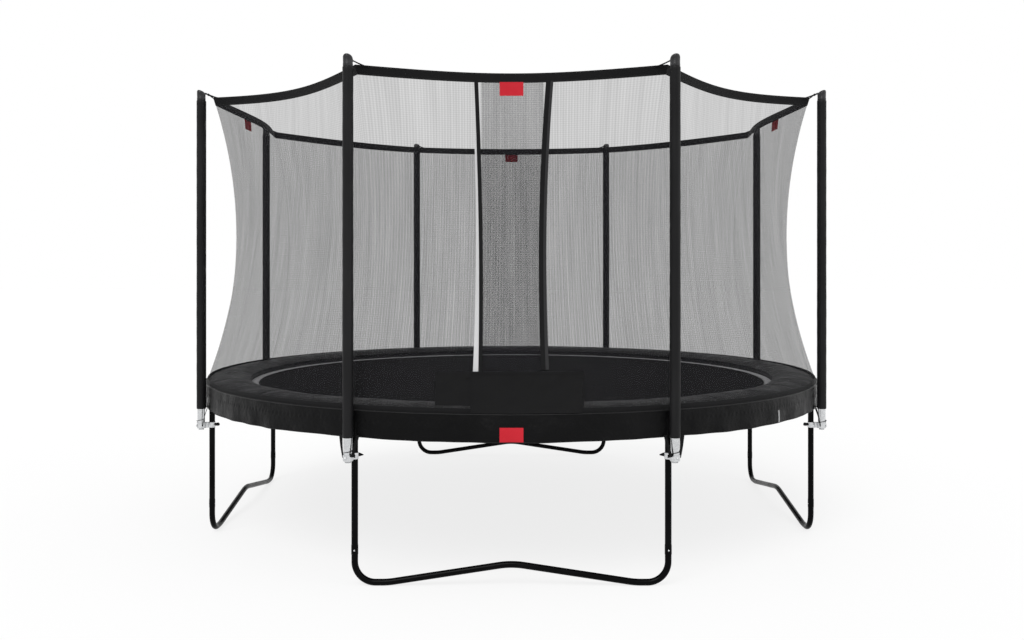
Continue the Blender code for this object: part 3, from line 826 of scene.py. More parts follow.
@dataclass
class Pole:
    """A galvanised pole in a foam sleeve, with a capped top and a clamp to its leg."""

    radius: float = 1.9406
    leg_radius: float = 1.880
    tube: float = 0.021
    foot: float = 0.600
    top: float = 2.500
    sleeve: float = 0.0265
    sleeve_low: float = 0.720
    sleeve_high: float = 2.4847
    cap: float = 0.024
    cap_low: float = 2.485
    peak: float = 2.549
    hook_height: float = 2.523
    clamp_height: float = 0.625

    def tube_shell(self) -> Shell:
        """Pole about +X: drawn tube with a swaged, flanged plug in its foot."""
        shell = Shell()
        foot, r = self.foot, self.tube
        profile = [
            (0.0060, foot + 0.004), (0.0065, foot + 0.0005), (0.0125, foot), (0.0150, foot + 0.001),
            (0.0152, foot + 0.0045), (0.0128, foot + 0.006), (0.0125, foot + 0.012),
            (r - 0.003, foot + 0.015), (r - 0.0006, foot + 0.020), (r, foot + 0.026),
            (r, self.top - 0.002), (r - 0.001, self.top), (0.004, self.top),
        ]
        shell.turning(np.array(profile), (self.radius, 0), 40)
        return shell

    def sleeve_shell(self) -> Shell:
        """Foam tube, a touch fuller between slack rings, with a rolled lip at each end."""
        shell = Shell()
        z = np.linspace(self.sleeve_low + 0.004, self.sleeve_high - 0.003, 160)
        waver = 0.00035 * smooth_noise(z * 9, z * 0, 5) + 0.00025 * np.sin(z * 61)
        body = np.stack([self.sleeve - 0.0005 + waver, z], axis=-1)
        bore = self.tube + 0.0004
        low, high = self.sleeve_low, self.sleeve_high
        start = [(bore, high - 0.002), (bore, low + 0.002), (bore + 0.001, low), (self.sleeve - 0.002, low)]
        end = [(self.sleeve - 0.002, high), (bore + 0.001, high), (bore + 0.0001, high - 0.001)]
        shell.turning(np.concatenate([start, body, end]), (self.radius, 0), 40)
        seam = np.stack([
            np.full_like(z, self.radius - self.sleeve + 0.0004), np.full_like(z, 0.006), z,
        ], axis=-1)
        shell.tube(seam, 0.0008, 6, up=(1, 0, 0))
        return shell

    def cap_shell(self) -> Shell:
        """Moulded cap: a sleeve, a step, and a low dome that slopes down towards the net.

        A point of the dome at radius r = cap * cos(rise)^0.45 and angle t stands at
        shoulder + swell * sin(rise) + slope * r * cos(t), with x outwards.
        """
        shell = Shell()
        t = np.linspace(0, math.tau, 48, endpoint=False)
        rise = np.concatenate([[0, 0.012, 0.03, 0.06], np.linspace(0.12, 0.985, 14)]) * QUARTER
        low, slope, swell = self.cap_low, 0.40, 0.019
        r = (self.cap * np.cos(rise) ** 0.45)[:, None]
        z = self.peak - 0.0275 + swell * np.sin(rise)[:, None] + slope * r * np.cos(t)[None]
        dome = np.stack([self.radius + r * np.cos(t), r * np.sin(t), z], axis=-1)
        skirt = [
            (self.tube + 0.0006, low + 0.010), (self.tube + 0.0006, low + 0.0008),
            (self.tube + 0.0012, low), (self.cap - 0.0012, low), (self.cap - 0.0002, low + 0.001),
            (self.cap, low + 0.003), (self.cap, low + 0.0145), (self.cap - 0.0006, low + 0.0155),
        ]
        profile = np.array(skirt)
        ring = polar(profile[:, :1], t[None], profile[:, 1:])
        ring[..., 0] += self.radius
        points = np.concatenate([ring, dome])
        index = shell.grid(points, (0.1, 0.15), round_v=True)
        shell.fan(index[0], points[0].mean(axis=0), flip=True)
        shell.fan(index[-1], points[-1].mean(axis=0) + (0, 0, 0.0003), flip=False)
        return shell

    def hook_shell(self) -> Shell:
        """Moulded hook on the cap's inner side: out, down and up at the tip."""
        shell = Shell()
        x, z = self.radius - self.cap, self.hook_height
        corners = [
            (x + 0.006, z + 0.004, 0), (x - 0.006, z + 0.002, 0.004),
            (x - 0.0135, z - 0.004, 0.004), (x - 0.0155, z + 0.005, 0),
        ]
        flat = rounded_path(corners, 0.0012)
        path = np.stack([flat[:, 0], np.zeros(len(flat)), flat[:, 1]], axis=-1)
        shell.tube(path, np.linspace(0.0052, 0.0030, len(path)), 16, up=(0, 1, 0), squash=0.8)
        return shell

    def strap_shell(self) -> Shell:
        """Figure-of-eight strap of sheet steel round the pole and the leg, pinched between.

        Its outline is the larger of two circles' reach and a narrow waist, in the plane, with
        the sheet's two faces carried up its height.
        """
        shell = Shell()
        t = np.linspace(0, math.tau, 120, endpoint=False)
        span = self.radius - self.leg_radius
        leg, pole = 0.0164, self.tube + 0.0004
        middle = (self.radius + self.leg_radius) / 2 - 0.001
        outline = []
        for sheet in (0.0024, 0.0):
            a, b = leg + sheet, pole + sheet
            reach_pole = self._ray(t, self.radius - middle, b)
            reach_leg = self._ray(t, self.leg_radius - middle, a)
            waist = 0.0085 + sheet
            reach = np.maximum(np.maximum(reach_pole, reach_leg), waist)
            outline.append(np.stack([middle + reach * np.cos(t), reach * np.sin(t)], axis=-1))
        z = np.array([-0.0150, -0.0144, -0.0060, 0.0060, 0.0144, 0.0150]) + self.clamp_height
        face = np.stack([np.append(outline[0], np.full((len(t), 1), k), axis=1) for k in z], axis=1)
        back = np.stack([np.append(outline[1], np.full((len(t), 1), k), axis=1) for k in z], axis=1)
        shell.slab(face, back, (2 * span + 0.12, 0.03), round_u=True)
        return shell

    @staticmethod
    def _ray(t: Points, offset: float, radius: float) -> Points:
        """How far a ray at angle t from the strap's middle runs to the far side of a circle."""
        along = offset * np.cos(t)
        inside = radius**2 - (offset * np.sin(t)) ** 2
        return np.where(inside > 0, along + np.sqrt(np.maximum(inside, 0)), 0.0)

    def bolt_shell(self) -> Shell:
        """Carriage bolt head and washer on the outside."""
        shell = Shell()
        x, z = self.radius + self.tube + 0.0026, self.clamp_height
        steps = [
            (0.0, 0.0085), (0.0012, 0.0085), (0.0013, 0.0068),
            (0.0030, 0.0062), (0.0046, 0.0040), (0.0052, 0.0012),
        ]
        path = np.array([(x + d, 0, z) for d, _ in steps])
        shell.tube(path, np.array([r for _, r in steps]), 24, up=(0, 0, 1))
        return shell

    def knob_shell(self) -> Shell:
        """Wing knob on the inside: a round hub with two flared, rounded wings.

        The wings' reach across is hub + wing * |cos t| ** 3 in the plane square to the bolt.
        """
        shell = Shell()
        x, z = self.leg_radius - 0.0164 - 0.0026, self.clamp_height
        t = np.linspace(0, math.tau, 64, endpoint=False)
        wing = 0.0078 + 0.0205 * np.abs(np.cos(t)) ** 5
        rows = [
            (0.0, 0.60), (0.001, 0.85), (0.004, 0.92), (0.010, 1.0),
            (0.016, 1.0), (0.020, 0.85), (0.022, 0.45),
        ]
        points = np.stack([
            np.stack([
                np.full_like(t, x - d),
                share * wing * np.cos(t),
                z + share * (0.0085 + 0.004 * np.abs(np.cos(t))) * np.sin(t),
            ], axis=-1)
            for d, share in rows
        ])
        index = shell.grid(points, (0.03, 0.12), round_v=True)
        shell.fan(index[0], points[0].mean(axis=0), flip=True)
        shell.fan(index[-1], points[-1].mean(axis=0), flip=False)
        return shell

    def build(self, finishes: dict[str, bpy.types.Material]) -> None:
        """Makes every pole with its sleeve, cap, hook, strap, bolt and knob."""
        made = (
            ("pole_tube", self.tube_shell, "zinc", Slot.ZINC, "pole_{}"),
            ("foam_sleeve", self.sleeve_shell, "foam", Slot.FOAM, "pole_sleeve_{}"),
            ("top_cap", self.cap_shell, "cap", Slot.CAP, "pole_cap_{}"),
            ("net_hook", self.hook_shell, "cap", Slot.CAP, ""),
            ("clamp_strap", self.strap_shell, "zinc", Slot.ZINC, "pole_clamp_{}"),
            ("clamp_bolt", self.bolt_shell, "zinc", Slot.ZINC, ""),
            ("wing_knob", self.knob_shell, "knob", Slot.CAP, ""),
        )
        for place, angle in uprights():
            for name, make, finish, slot, node in made:
                nodes = [node.format(place)] if node else []
                piece = make().build(f"{name}_{place}", angle)
                settle(piece, finishes[finish], nodes)


# ------------------------------------------------------------------ mat and springs


@dataclass
class JumpingMat:
    """The woven mat with its sewn edge, a pale ring of painted highlight beside the pad, and the eyes that
    the springs hook into.
    """

    radius: float = 1.655
    top: float = 0.823
    thickness: float = 0.003
    # inner and outer radius of the pale ring that paints the highlight on the pad's inner slope
    pale_inner: float = 1.592
    highlight_outer: float = 1.641
    springs: int = 72
    ring_inner: float = 1.861
    spring_height: float = 0.8185

    def cloth_shell(self) -> Shell:
        """Disc of cloth: rings of points, closest at the edge, with a thicker turned hem."""
        shell = Shell()
        t = np.linspace(0, math.tau, 288, endpoint=False)
        r = np.concatenate([[0.02, 0.3, 0.7, 1.1, 1.4, 1.55], np.linspace(1.585, self.radius, 12)])
        hem = 0.0011 * np.clip((r - 1.59) / 0.006, 0, 1)
        upper = polar(r[:, None], t[None], (self.top - 0.0011 + hem)[:, None])
        lower = polar(r[::-1, None], t[None], (self.top - self.thickness - hem[::-1])[:, None])
        points = np.concatenate([upper, lower])
        index = shell.grid(points, (2 * self.radius, math.tau * self.radius), round_v=True)
        shell.fan(index[0], points[0].mean(axis=0), flip=True)
        shell.fan(index[-1], points[-1].mean(axis=0), flip=False)
        self._flat_uv(shell)
        return shell

    def _flat_uv(self, shell: Shell) -> None:
        """Lays the UV map flat over the disc, so that the yarns run straight across it."""
        points = np.concatenate(shell.points)
        shell.uvs = [points[faces][..., :2] for faces in shell.faces]

    def pale_ring_shell(self) -> Shell:
        """Painted highlight: a pale ring round the mat beside the pad, 0.6 mm proud of the cloth, for the
        light on the pad's inner slope.
        """
        shell = Shell()
        t = np.linspace(0, math.tau, 360, endpoint=False)
        r = np.array([self.pale_inner, self.pale_inner + 0.002, self.highlight_outer - 0.002, self.highlight_outer])
        z = self.top + np.array([0.0001, 0.0006, 0.0006, 0.0001])
        face = polar(r[None], t[:, None], z[None])
        back = polar(r[None], t[:, None], np.full((1, 4), self.top - 0.0004))
        shell.slab(face, back, (math.tau * self.radius, 0.05), round_u=True)
        return shell

    def stitches_shell(self, radius: float, count: int) -> Shell:
        """A round of stitches: short humps of thread, as one wavy thin cord."""
        shell = Shell()
        t = np.linspace(0, math.tau, count * 4, endpoint=False)
        z = self.top + 0.0006 + 0.0004 * np.sin(count * t)
        path = polar(np.full_like(t, radius), t, z)
        shell.tube(path, 0.0007, 4, closed=True)
        return shell

    def eyes_shell(self) -> Shell:
        """Steel triangles, one for each spring, at the mat's edge."""
        shell = Shell()
        flat = rounded_path([
            (0.0, 0.0, 0), (0.0, 0.013, 0.003), (0.019, 0.0, 0.003), (0.0, -0.013, 0.003), (0.0, 0.0, 0),
        ], 0.002)[:-1]
        path = np.stack([
            self.radius - 0.006 + flat[:, 0], flat[:, 1], np.full(len(flat), self.spring_height),
        ], axis=-1)
        shell.tube(path, 0.0016, 6, closed=True)
        return shell.turned_copies([math.tau * (k + 0.5) / self.springs for k in range(self.springs)])

    def tabs_shell(self) -> Shell:
        """Loops of webbing under the hem that hold the steel triangles."""
        shell = Shell()
        r = np.linspace(self.radius - 0.045, self.radius + 0.0005, 8)
        y = np.array([-0.0105, 0.0, 0.0105])
        z = self.spring_height + 0.0022 + np.zeros((8, 3))
        face = np.stack(np.broadcast_arrays(r[:, None], y[None], z), axis=-1)
        back = face - (0, 0, 0.0054)
        shell.slab(face, back, (0.045, 0.021))
        return shell.turned_copies([math.tau * (k + 0.5) / self.springs for k in range(self.springs)])

    def spring_shell(self) -> Shell:
        """A coil spring about +X with a hook at each end, one wire from tip to tip.

        The coil is (x, c + r * sin(turns * tau * s), r * cos(turns * tau * s)) with s from 0 to
        1. It narrows to half its width over the last turn at each end, where the hooks leave.
        """
        shell = Shell()
        near, far = self.radius + 0.0085, self.ring_inner + 0.004
        coil_near, coil_far, turns = near + 0.022, far - 0.030, 24
        s = np.linspace(0, 1, turns * 9)
        taper = np.clip(np.minimum(s, 1 - s) * turns, 0, 1)
        r = 0.0032 + 0.0036 * taper * (2 - taper)
        x = coil_near + (coil_far - coil_near) * s
        coil = np.stack([
            x, r * np.sin(turns * math.tau * s), self.spring_height + r * np.cos(turns * math.tau * s),
        ], axis=-1)
        bend = np.linspace(0, math.pi, 7)
        hook_in = np.stack([
            near + 0.004 - 0.004 * np.sin(bend), np.zeros(7), self.spring_height - 0.0035 * np.cos(bend),
        ], axis=-1)
        hook_out = np.stack([
            far - 0.005 + 0.005 * np.sin(bend), np.zeros(7), self.spring_height + 0.0045 * np.cos(bend),
        ], axis=-1)
        path = np.concatenate([hook_in, coil, hook_out])
        shell.tube(path, 0.0013, 5, up=(0.99, 0.1, 0.02))
        return shell

    def build(self, finishes: dict[str, bpy.types.Material]) -> None:
        """Makes the mat with what is sewn to it, and the springs, which are tied to no body."""
        cloth = self.cloth_shell().build("mat_cloth")
        settle(cloth, finishes["mat"], ["jumping_mat"], Body.MAT)
        # painted highlight: a pale ring on the mat stands for the light on the pad's inner slope
        pale = settle(self.pale_ring_shell().build("mat_pale_ring"), finishes["pale"], (), Body.MAT)
        for number, (radius, count) in enumerate(((1.596, 900), (1.637, 920), (1.648, 920))):
            thread = self.stitches_shell(radius, count).build(f"mat_stitches_{number + 1}")
            settle(thread, finishes["thread"], (), Body.MAT)
        tabs = self.tabs_shell().build("mat_tabs")
        settle(tabs, finishes["webbing"], (), Body.MAT)
        eyes = settle(self.eyes_shell().build("mat_eyes"), finishes["spring"], (), Body.MAT)
        replaced = ["springs"]
        for number in range(self.springs):
            angle = math.tau * (number + 0.5) / self.springs
            piece = self.spring_shell().build(f"spring_{number + 1:02d}", angle)
            settle(piece, finishes["spring"], replaced, None)
            replaced = []
            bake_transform(piece)


# ------------------------------------------------------------------ spring pad


@dataclass
class SpringPad:
    """The padded ring over the springs: a crowned top, a piped rim and a hanging skirt."""

    inner: float = 1.642
    rim: float = 1.9045
    under: float = 0.8400
    rim_height: float = 0.846
    crown: float = 0.030
    edge: float = 0.0150
    hem: float = 0.718
    sectors: int = 32

    def height(self, share: Points, angle: Points) -> Points:
        """Top of the pad. Share runs from 0 at the rim to 1 at the inner edge.

        The height is a straight line from rim to edge plus crown * (1 - |2 share - 1|^2.6),
        less a crease at each radial seam, plus soft lumps where the foam pulls its cover.
        """
        base = self.rim_height + (self.under + self.edge - self.rim_height) * share
        swell = 1 - np.abs(2 * share - 1) ** 2.6
        seam = np.abs(np.mod(angle * self.sectors / math.tau, 1.0) - 0.5) * 2
        crease = 0.07 * np.exp(-(((1 - seam) / 0.045) ** 2))
        puckers = 0.05 * np.exp(-(((1 - seam) / 0.16) ** 2)) * np.sin(share * 60)
        lumps = smooth_noise(angle * 11, share * 4, 3) * 0.09
        ripple = 0.045 * np.sin(angle * 90 + 3 * smooth_noise(angle * 6, share, 8)) * (share - 0.5) ** 2 * 4
        return base + self.crown * swell * (1 - crease + lumps + puckers) + self.crown * ripple * swell

    def top_shell(self, half: float) -> Shell:
        """A quarter of the pad's top about +X, closed underneath."""
        shell = Shell()
        a = np.linspace(-half, half, 421)[:, None]
        share = np.concatenate([
            np.linspace(0, 0.12, 8), np.linspace(0.15, 0.85, 22), np.linspace(0.88, 1, 8),
        ])[None]
        waver = 0.0022 * smooth_noise(a * 26, a * 0, 11) * share**4
        r = self.rim - 0.0012 + (self.inner - self.rim) * share + waver
        return self._close(shell, a, r, share)

    def _close(self, shell: Shell, a: Points, r: Points, share: Points) -> Shell:
        """Closes the pad's top with a flat underside that is tucked in at both edges."""
        face = polar(r, a, self.height(share, a))
        tuck = 0.003 * np.clip(1 - np.minimum(share, 1 - share) * 60, 0, 1)
        inward = np.where(share > 0.5, 1.0, -1.0)
        low = self.under + 0.0012 * (tuck / 0.003)
        back = polar(r + inward * tuck, a, low + 0 * r)
        length = (a[-1, 0] - a[0, 0]) * 1.77
        shell.slab(face, back, (float(length), 0.27))
        return shell

    def piping_shell(self, half: float, radius: float, height: float, size: float) -> Shell:
        """Corded piping sewn along an edge, with a small waver."""
        shell = Shell()
        a = np.linspace(-half, half, 361)
        waver = 0.0009 * smooth_noise(a * 60, a * 0, 21)
        shell.tube(polar(radius + waver, a, height + waver * 0.7), size, 8)
        return shell

    def lip_shell(self, half: float) -> Shell:
        """Flap that hangs from the inner edge and closes the gap down to the springs."""
        shell = Shell()
        a = np.linspace(-half, half, 121)[:, None]
        z = np.linspace(0.8255, self.under + 0.006, 5)[None]
        waver = 0.0008 * smooth_noise(a * 40, z * 60, 41)
        r = self.inner + 0.0022 + waver
        shell.slab(polar(r + 0.0016, a, z), polar(r, a, z), (2 * half * self.inner, 0.02))
        return shell

    def skirt_face(self, middle: float, half: float, a: Points, drop: Points) -> Points:
        """Outside of a stretch of skirt about +X, at angles a and at shares of the drop.

        The radius is the rim's, plus folds that grow with drop^1.6: sine folds of changing
        width, damped towards the stretch's ends, where the poles stand. The hem rises and
        falls a little, and a gathering seam puckers the cloth a third of the way down.
        """
        ends = np.clip((half - np.abs(a)) / 0.055, 0, 1)
        place = a + middle
        phase = place * 58 + 2.2 * smooth_noise(place * 9, a * 0, 31)
        fold = np.sin(phase) + 0.9 * smooth_noise(place * 44, drop * 2.2, 32)
        billow = 0.010 * ends * (1 - (a / half) ** 2) * np.sin(drop * math.pi * 0.62)
        gather = 0.0011 * np.sin(place * 420) * np.exp(-(((drop - 0.35) / 0.05) ** 2))
        r = self.rim + 0.0004 + billow + 0.0036 * ends * fold * drop**1.2 + gather
        low = self.hem + 0.0034 * smooth_noise(place * 21, a * 0, 33)
        return polar(r, a, self.rim_height - (self.rim_height - low) * drop)

    def skirt_shell(self, middle: float, half: float) -> Shell:
        """A stretch of skirt about +X: cloth that hangs from the rim, fuller at its hem."""
        shell = Shell()
        a = np.linspace(-half, half, 261)[:, None]
        drop = np.concatenate([np.linspace(0, 0.1, 5), np.linspace(0.14, 1, 26)])[None]
        face = self.skirt_face(middle, half, a, drop)
        back = face - 0.0016 * polar(1.0, a, 0.0 * a)
        shell.slab(face, back, (2 * half * self.rim, self.rim_height - self.hem))
        return shell

    def hem_shell(self, middle: float, half: float) -> Shell:
        """Rolled hem along a stretch of skirt's foot."""
        shell = Shell()
        a = np.linspace(-half, half, 261)
        path = self.skirt_face(middle, half, a, np.full_like(a, 0.98))
        shell.tube(path - 0.0008 * polar(1.0, a, 0.0 * a), 0.0030, 8, squash=0.55)
        return shell

    def build(self, finishes: dict[str, bpy.types.Material]) -> None:
        """Makes the pad in four quarters and the skirt in eight stretches between the poles."""
        quarter = QUARTER / 2 - 0.0002
        for index, side in enumerate(SIDES):
            angle = side_angle(index)
            top = self.top_shell(quarter).build(f"pad_top_{side}", angle)
            settle(top, finishes["pad"], [f"spring_pad_{side}"])
            settle(self.lip_shell(quarter).build(f"pad_lip_{side}", angle), finishes["piping"])
            for name, radius, height, size in (
                ("rim_piping", self.rim - 0.0004, self.rim_height + 0.0012, 0.0026),
                ("inner_piping", self.inner + 0.0015, self.under + self.edge - 0.0015, 0.0026),
            ):
                piping = self.piping_shell(quarter, radius, height, size)
                settle(piping.build(f"{name}_{side}", angle), finishes["piping"])
        for name, angle, half in panels():
            edge = half - 0.0115
            skirt = self.skirt_shell(angle, edge).build(f"skirt_{name}", angle)
            settle(skirt, finishes["skirt"])
            hem = self.hem_shell(angle, edge).build(f"skirt_hem_{name}", angle)
            settle(hem, finishes["piping"])
        for place, angle in uprights():
            flap = self.flap_shell().build(f"skirt_flap_{place}", angle)
            settle(flap, finishes["skirt"])

    def flap_shell(self) -> Shell:
        """Narrow flap of skirt behind a pole, tucked in between the two slits."""
        shell = Shell()
        a = np.linspace(-0.0105, 0.0105, 9)[:, None]
        drop = np.linspace(0, 1, 12)[None]
        r = self.rim - 0.0006 - 0.0012 * np.sin(drop * math.pi) + 0 * a
        z = self.rim_height - (self.rim_height - self.hem - 0.004) * drop + 0 * a
        shell.slab(polar(r, a, z), polar(r - 0.0016, a, z), (0.04, 0.12))
        return shell


# ------------------------------------------------------------------ net


@dataclass
class SafetyNet:
    """The net between the poles: eight panels, an entrance in the front one, and a top band."""

    foot_radius: float = 1.8936
    corner_radius: float = 1.8736
    foot: float = 0.852
    corner_top: float = 2.507
    middle_top: float = 2.482
    corner_waist: float = 0.139
    middle_waist: float = 0.089
    slack: float = 0.095
    cloth: float = 0.0022
    band: float = 0.046
    loop_spread: float = 0.045
    hook: tuple[float, float] = (1.9000, 2.5215)

    def radius(self, across: Points, half: float, share: Points) -> Points:
        """Distance from the middle at a share of the height, and at across = angle / half.

        Each line of the net is foot + (top - foot) * share - 4 * waist * share * (1 - share),
        and the lines change from the panel's middle to its corners with across^2.
        """
        lines = []
        for top, waist in (
            (self.corner_radius * math.cos(half) - self.slack, self.middle_waist),
            (self.corner_radius, self.corner_waist),
        ):
            rise = (top - self.foot_radius) * share
            lines.append(self.foot_radius + rise - 4 * waist * share * (1 - share))
        return lines[0] + (lines[1] - lines[0]) * across**2

    def face(self, half: float, a: Points, share: Points, proud: Points = 0.0, top: float = 0.0) -> Points:
        """Points of a panel about +X, moved outwards by proud; top lowers the upper edge."""
        across = np.clip(a / half, -1, 1)
        edge = self.middle_top + (self.corner_top - self.middle_top) * across**2 - top
        z = self.foot + (edge - self.foot) * share
        true = (z - self.foot) / (edge + top - self.foot)
        pull = 0.0022 * np.sin(9 * share + a * 60) * (1 - across**2) * share * (1 - share) * 4
        return polar(self.radius(across, half, true) + proud + pull, a, z)

    def sheet_shell(self, half: float, low: float, high: float, proud: Callable = lambda a: 0.0) -> Shell:
        """Sheet of net about +X from one angle to another, ending behind the top band."""
        shell = Shell()
        a = np.linspace(low, high, max(24, int((high - low) * 110)))[:, None]
        share = np.linspace(0, 1, 56)[None]
        out = proud(a)
        face = self.face(half, a, share, out, self.band * 0.55)
        back = self.face(half, a, share, out - self.cloth, self.band * 0.55)
        shell.slab(face, back, ((high - low) * 1.85, self.corner_top - self.foot))
        return shell

    def strip_shell(
        self, half: float, middle: Callable, width: Callable, span: tuple[float, float], proud: float,
        thick: float = 0.0016,
    ) -> Shell:
        """Strip of cloth that runs up the net.

        Args:
            half: The panel's half angle.
            middle: The strip's middle, in metres across from the panel's, by share of height.
            width: The strip's width by share of height.
            span: The shares of height where it starts and ends.
            proud: How far its outside stands from the net.
            thick: Its thickness.

        Returns:
            The strip about +X.
        """
        shell = Shell()
        share = np.linspace(*span, 90)[None]
        side = np.array([-0.5, -0.42, 0.0, 0.42, 0.5])[:, None]
        x = middle(share) + width(share) * side
        a = np.arcsin(x / self.radius(0.0, half, share))
        edge = np.array([-0.0005, 0.0, 0.0, 0.0, -0.0005])[:, None]
        face = self.face(half, a, share, proud + edge)
        back = self.face(half, a, share, proud - thick - edge)
        shell.slab(face, back, (0.04, 1.6 * (span[1] - span[0])))
        return shell

    def patch_shell(
        self, half: float, x: float, size: tuple[float, float], z: float, proud: float, slack: float = 0.0
    ) -> Shell:
        """Rectangle of cloth on the net; slack is the depth of its soft folds."""
        shell = Shell()
        share = np.linspace(z - size[1] / 2, z + size[1] / 2, 14)
        share = ((share - self.foot) / (self.middle_top - self.foot))[None]
        across = np.linspace(-0.5, 0.5, 64)[:, None] * size[0] + x
        a = np.arcsin(across / self.radius(0.0, half, share))
        proud = proud + slack * (1 + smooth_noise(across * 34, share * 60, 51)) / 2
        shell.slab(
            self.face(half, a, share, proud), self.face(half, a, share, proud - 0.0012), size,
        )
        return shell

    def hem_shell(self, half: float) -> Shell:
        """Folded binding along a panel's foot, which the rim of the pad holds."""
        shell = Shell()
        a = np.linspace(-half, half, 80)[:, None]
        z = np.array([-0.003, -0.001, 0.010, 0.019, 0.021])[None]
        swell = np.array([0.0004, 0.0022, 0.0024, 0.0022, 0.0006])[None]
        r = self.foot_radius - 0.24 * np.maximum(z, 0)
        shell.slab(
            polar(r + swell, a, self.foot + z), polar(r - 0.0030 - swell * 0.3, a, self.foot + z),
            (half * 3.8, 0.024),
        )
        return shell

    def band_shell(self) -> Shell:
        """The webbing band round the top of all eight panels, as one ring."""
        shell = Shell()
        rows = []
        for _, angle, half in panels():
            a = np.linspace(-half, half, 41)[:-1, None]
            z = np.array([0.0, 0.001, 0.5, 0.999, 1.0])[None] * self.band
            edge = np.array([0.0006, 0.0, 0.0, 0.0, 0.0006])[None]
            across = a / half
            top = self.middle_top + (self.corner_top - self.middle_top) * across**2
            height = top - self.band + z
            r = self.radius(across, half, (height - self.foot) / (top - self.foot))
            rows.append([turned(polar(r + s * (0.0021 - edge), a, height), angle) for s in (1, -1)])
        face, back = (np.concatenate([row[k] for row in rows]) for k in (0, 1))
        shell.slab(face, back, (11.4, self.band), round_u=True)
        return shell

    def band_stitches_shell(self) -> Shell:
        """Two lines of thread along the band, near its edges."""
        shell = Shell()
        for drop in (0.006, self.band - 0.006):
            rows = []
            for _, angle, half in panels():
                a = np.linspace(-half, half, 161)[:-1]
                across = a / half
                top = self.middle_top + (self.corner_top - self.middle_top) * across**2
                r = self.radius(across, half, 1 - drop / (top - self.foot))
                lift = 0.0023 + 0.0003 * np.sin(np.arange(160) * math.pi / 2)
                rows.append(turned(polar(r + lift, a, top - drop), angle))
            shell.tube(np.concatenate(rows), 0.0006, 4, closed=True)
        return shell

    def loop_shell(self, half: float, far_half: float) -> Shell:
        """Cord from the hook at +X, both ways down to the band, with its sewn ends."""
        shell = Shell()
        for sign, own in ((1, half), (-1, far_half)):
            reach = self.loop_spread / self.corner_radius
            across = 1 - reach / own
            top = self.middle_top + (self.corner_top - self.middle_top) * across**2
            r = self.radius(across, own, 1.0)
            end = polar(r + 0.003, sign * reach, top - 0.006)
            mouth = np.array([self.hook[0], 0, self.hook[1]])
            t = np.linspace(0, 1, 14)[:, None]
            sag = np.array([0, 0, -0.0012]) * np.sin(math.pi * t)
            path = mouth + (end - mouth) * t + sag
            shell.tube(path, 0.0034, 10, up=(1, 0, 0))
            foot = end + np.linspace(0, 1, 6)[:, None] * (end - mouth) / np.linalg.norm(end - mouth) * 0.022
            shell.tube(foot, 0.0031, 10, up=(1, 0, 0), squash=0.7)
        knot = np.linspace(0, math.tau, 24, endpoint=False)
        ring = np.stack([
            self.hook[0] + 0.0046 * np.cos(knot), 0 * knot, self.hook[1] - 0.001 + 0.0046 * np.sin(knot),
        ], axis=-1)
        shell.tube(ring, 0.0023, 8, closed=True, up=(0, 1, 0))
        return shell

    def _sheets(self, finishes: dict[str, bpy.types.Material]) -> None:
        """Makes the plain panels and the entrance's two overlapping ones."""
        for name, angle, half in panels():
            if name == "front":
                self._entrance(finishes, angle, half)
                continue
            piece = self.sheet_shell(half, -half, half).build(f"net_panel_{name}", angle)
            settle(piece, finishes["net"], [f"net_{name}"])

    def _entrance(self, finishes: dict[str, bpy.types.Material], angle: float, half: float) -> None:
        """Makes the front panel: two sheets that overlap, their bindings and the apron."""
        left, right = math.asin(-0.160 / 1.76), math.asin(0.170 / 1.76)
        ease = 0.060

        def inside(a: Points) -> Points:
            return -0.007 * np.clip((half - a) / ease, 0, 1)

        def outside(a: Points) -> Points:
            return 0.0 * a

        flaps = (
            ("net_outer_flap", -half, right, outside, "net_front_outer_flap"),
            ("net_inner_flap", left, half, inside, "net_front_inner_flap"),
        )
        for name, low, high, proud, node in flaps:
            piece = self.sheet_shell(half, low, high, proud).build(name, angle)
            settle(piece, finishes["net"], [node])
        self._bindings(finishes, angle, half)
        self._apron(finishes, angle, half)

    def _bindings(self, finishes: dict[str, bpy.types.Material], angle: float, half: float) -> None:
        """Makes the strips sewn along the entrance's two edges; the right edge's pale tape is drawn dark grey
        as painted shade.
        """

        def line(bottom: float, middle: float, top: float) -> Callable:
            return lambda s: bottom + (top - bottom) * s + 4 * (middle - (bottom + top) / 2) * s * (1 - s)

        edge, tape = (0.12, 0.975), (0.115, 0.80)
        strips = (
            ("left_binding", line(-0.148, -0.149, -0.173), lambda s: 0.019 + 0 * s,
             (0.10, 0.975), 0.0052, "webbing"),
            ("left_pale_strip", line(-0.172, -0.163, -0.186), lambda s: 0.014 + 0.018 * (1 - s) ** 2,
             tape, 0.0040, "tape"),
            ("right_binding", line(0.158, 0.1437, 0.181), lambda s: 0.022 + 0 * s,
             edge, 0.0050, "webbing"),
            # painted shade: the right edge's tape, the same pale tape as the left one's, is drawn dark grey
            ("right_shaded_tape_strip", line(0.177, 0.161, 0.197), lambda s: 0.017 + 0 * s,
             edge, 0.0040, "dim"),
        )
        for name, middle, width, span, proud, finish in strips:
            shell = self.strip_shell(half, middle, width, span, proud)
            settle(shell.build(name, angle), finishes[finish])

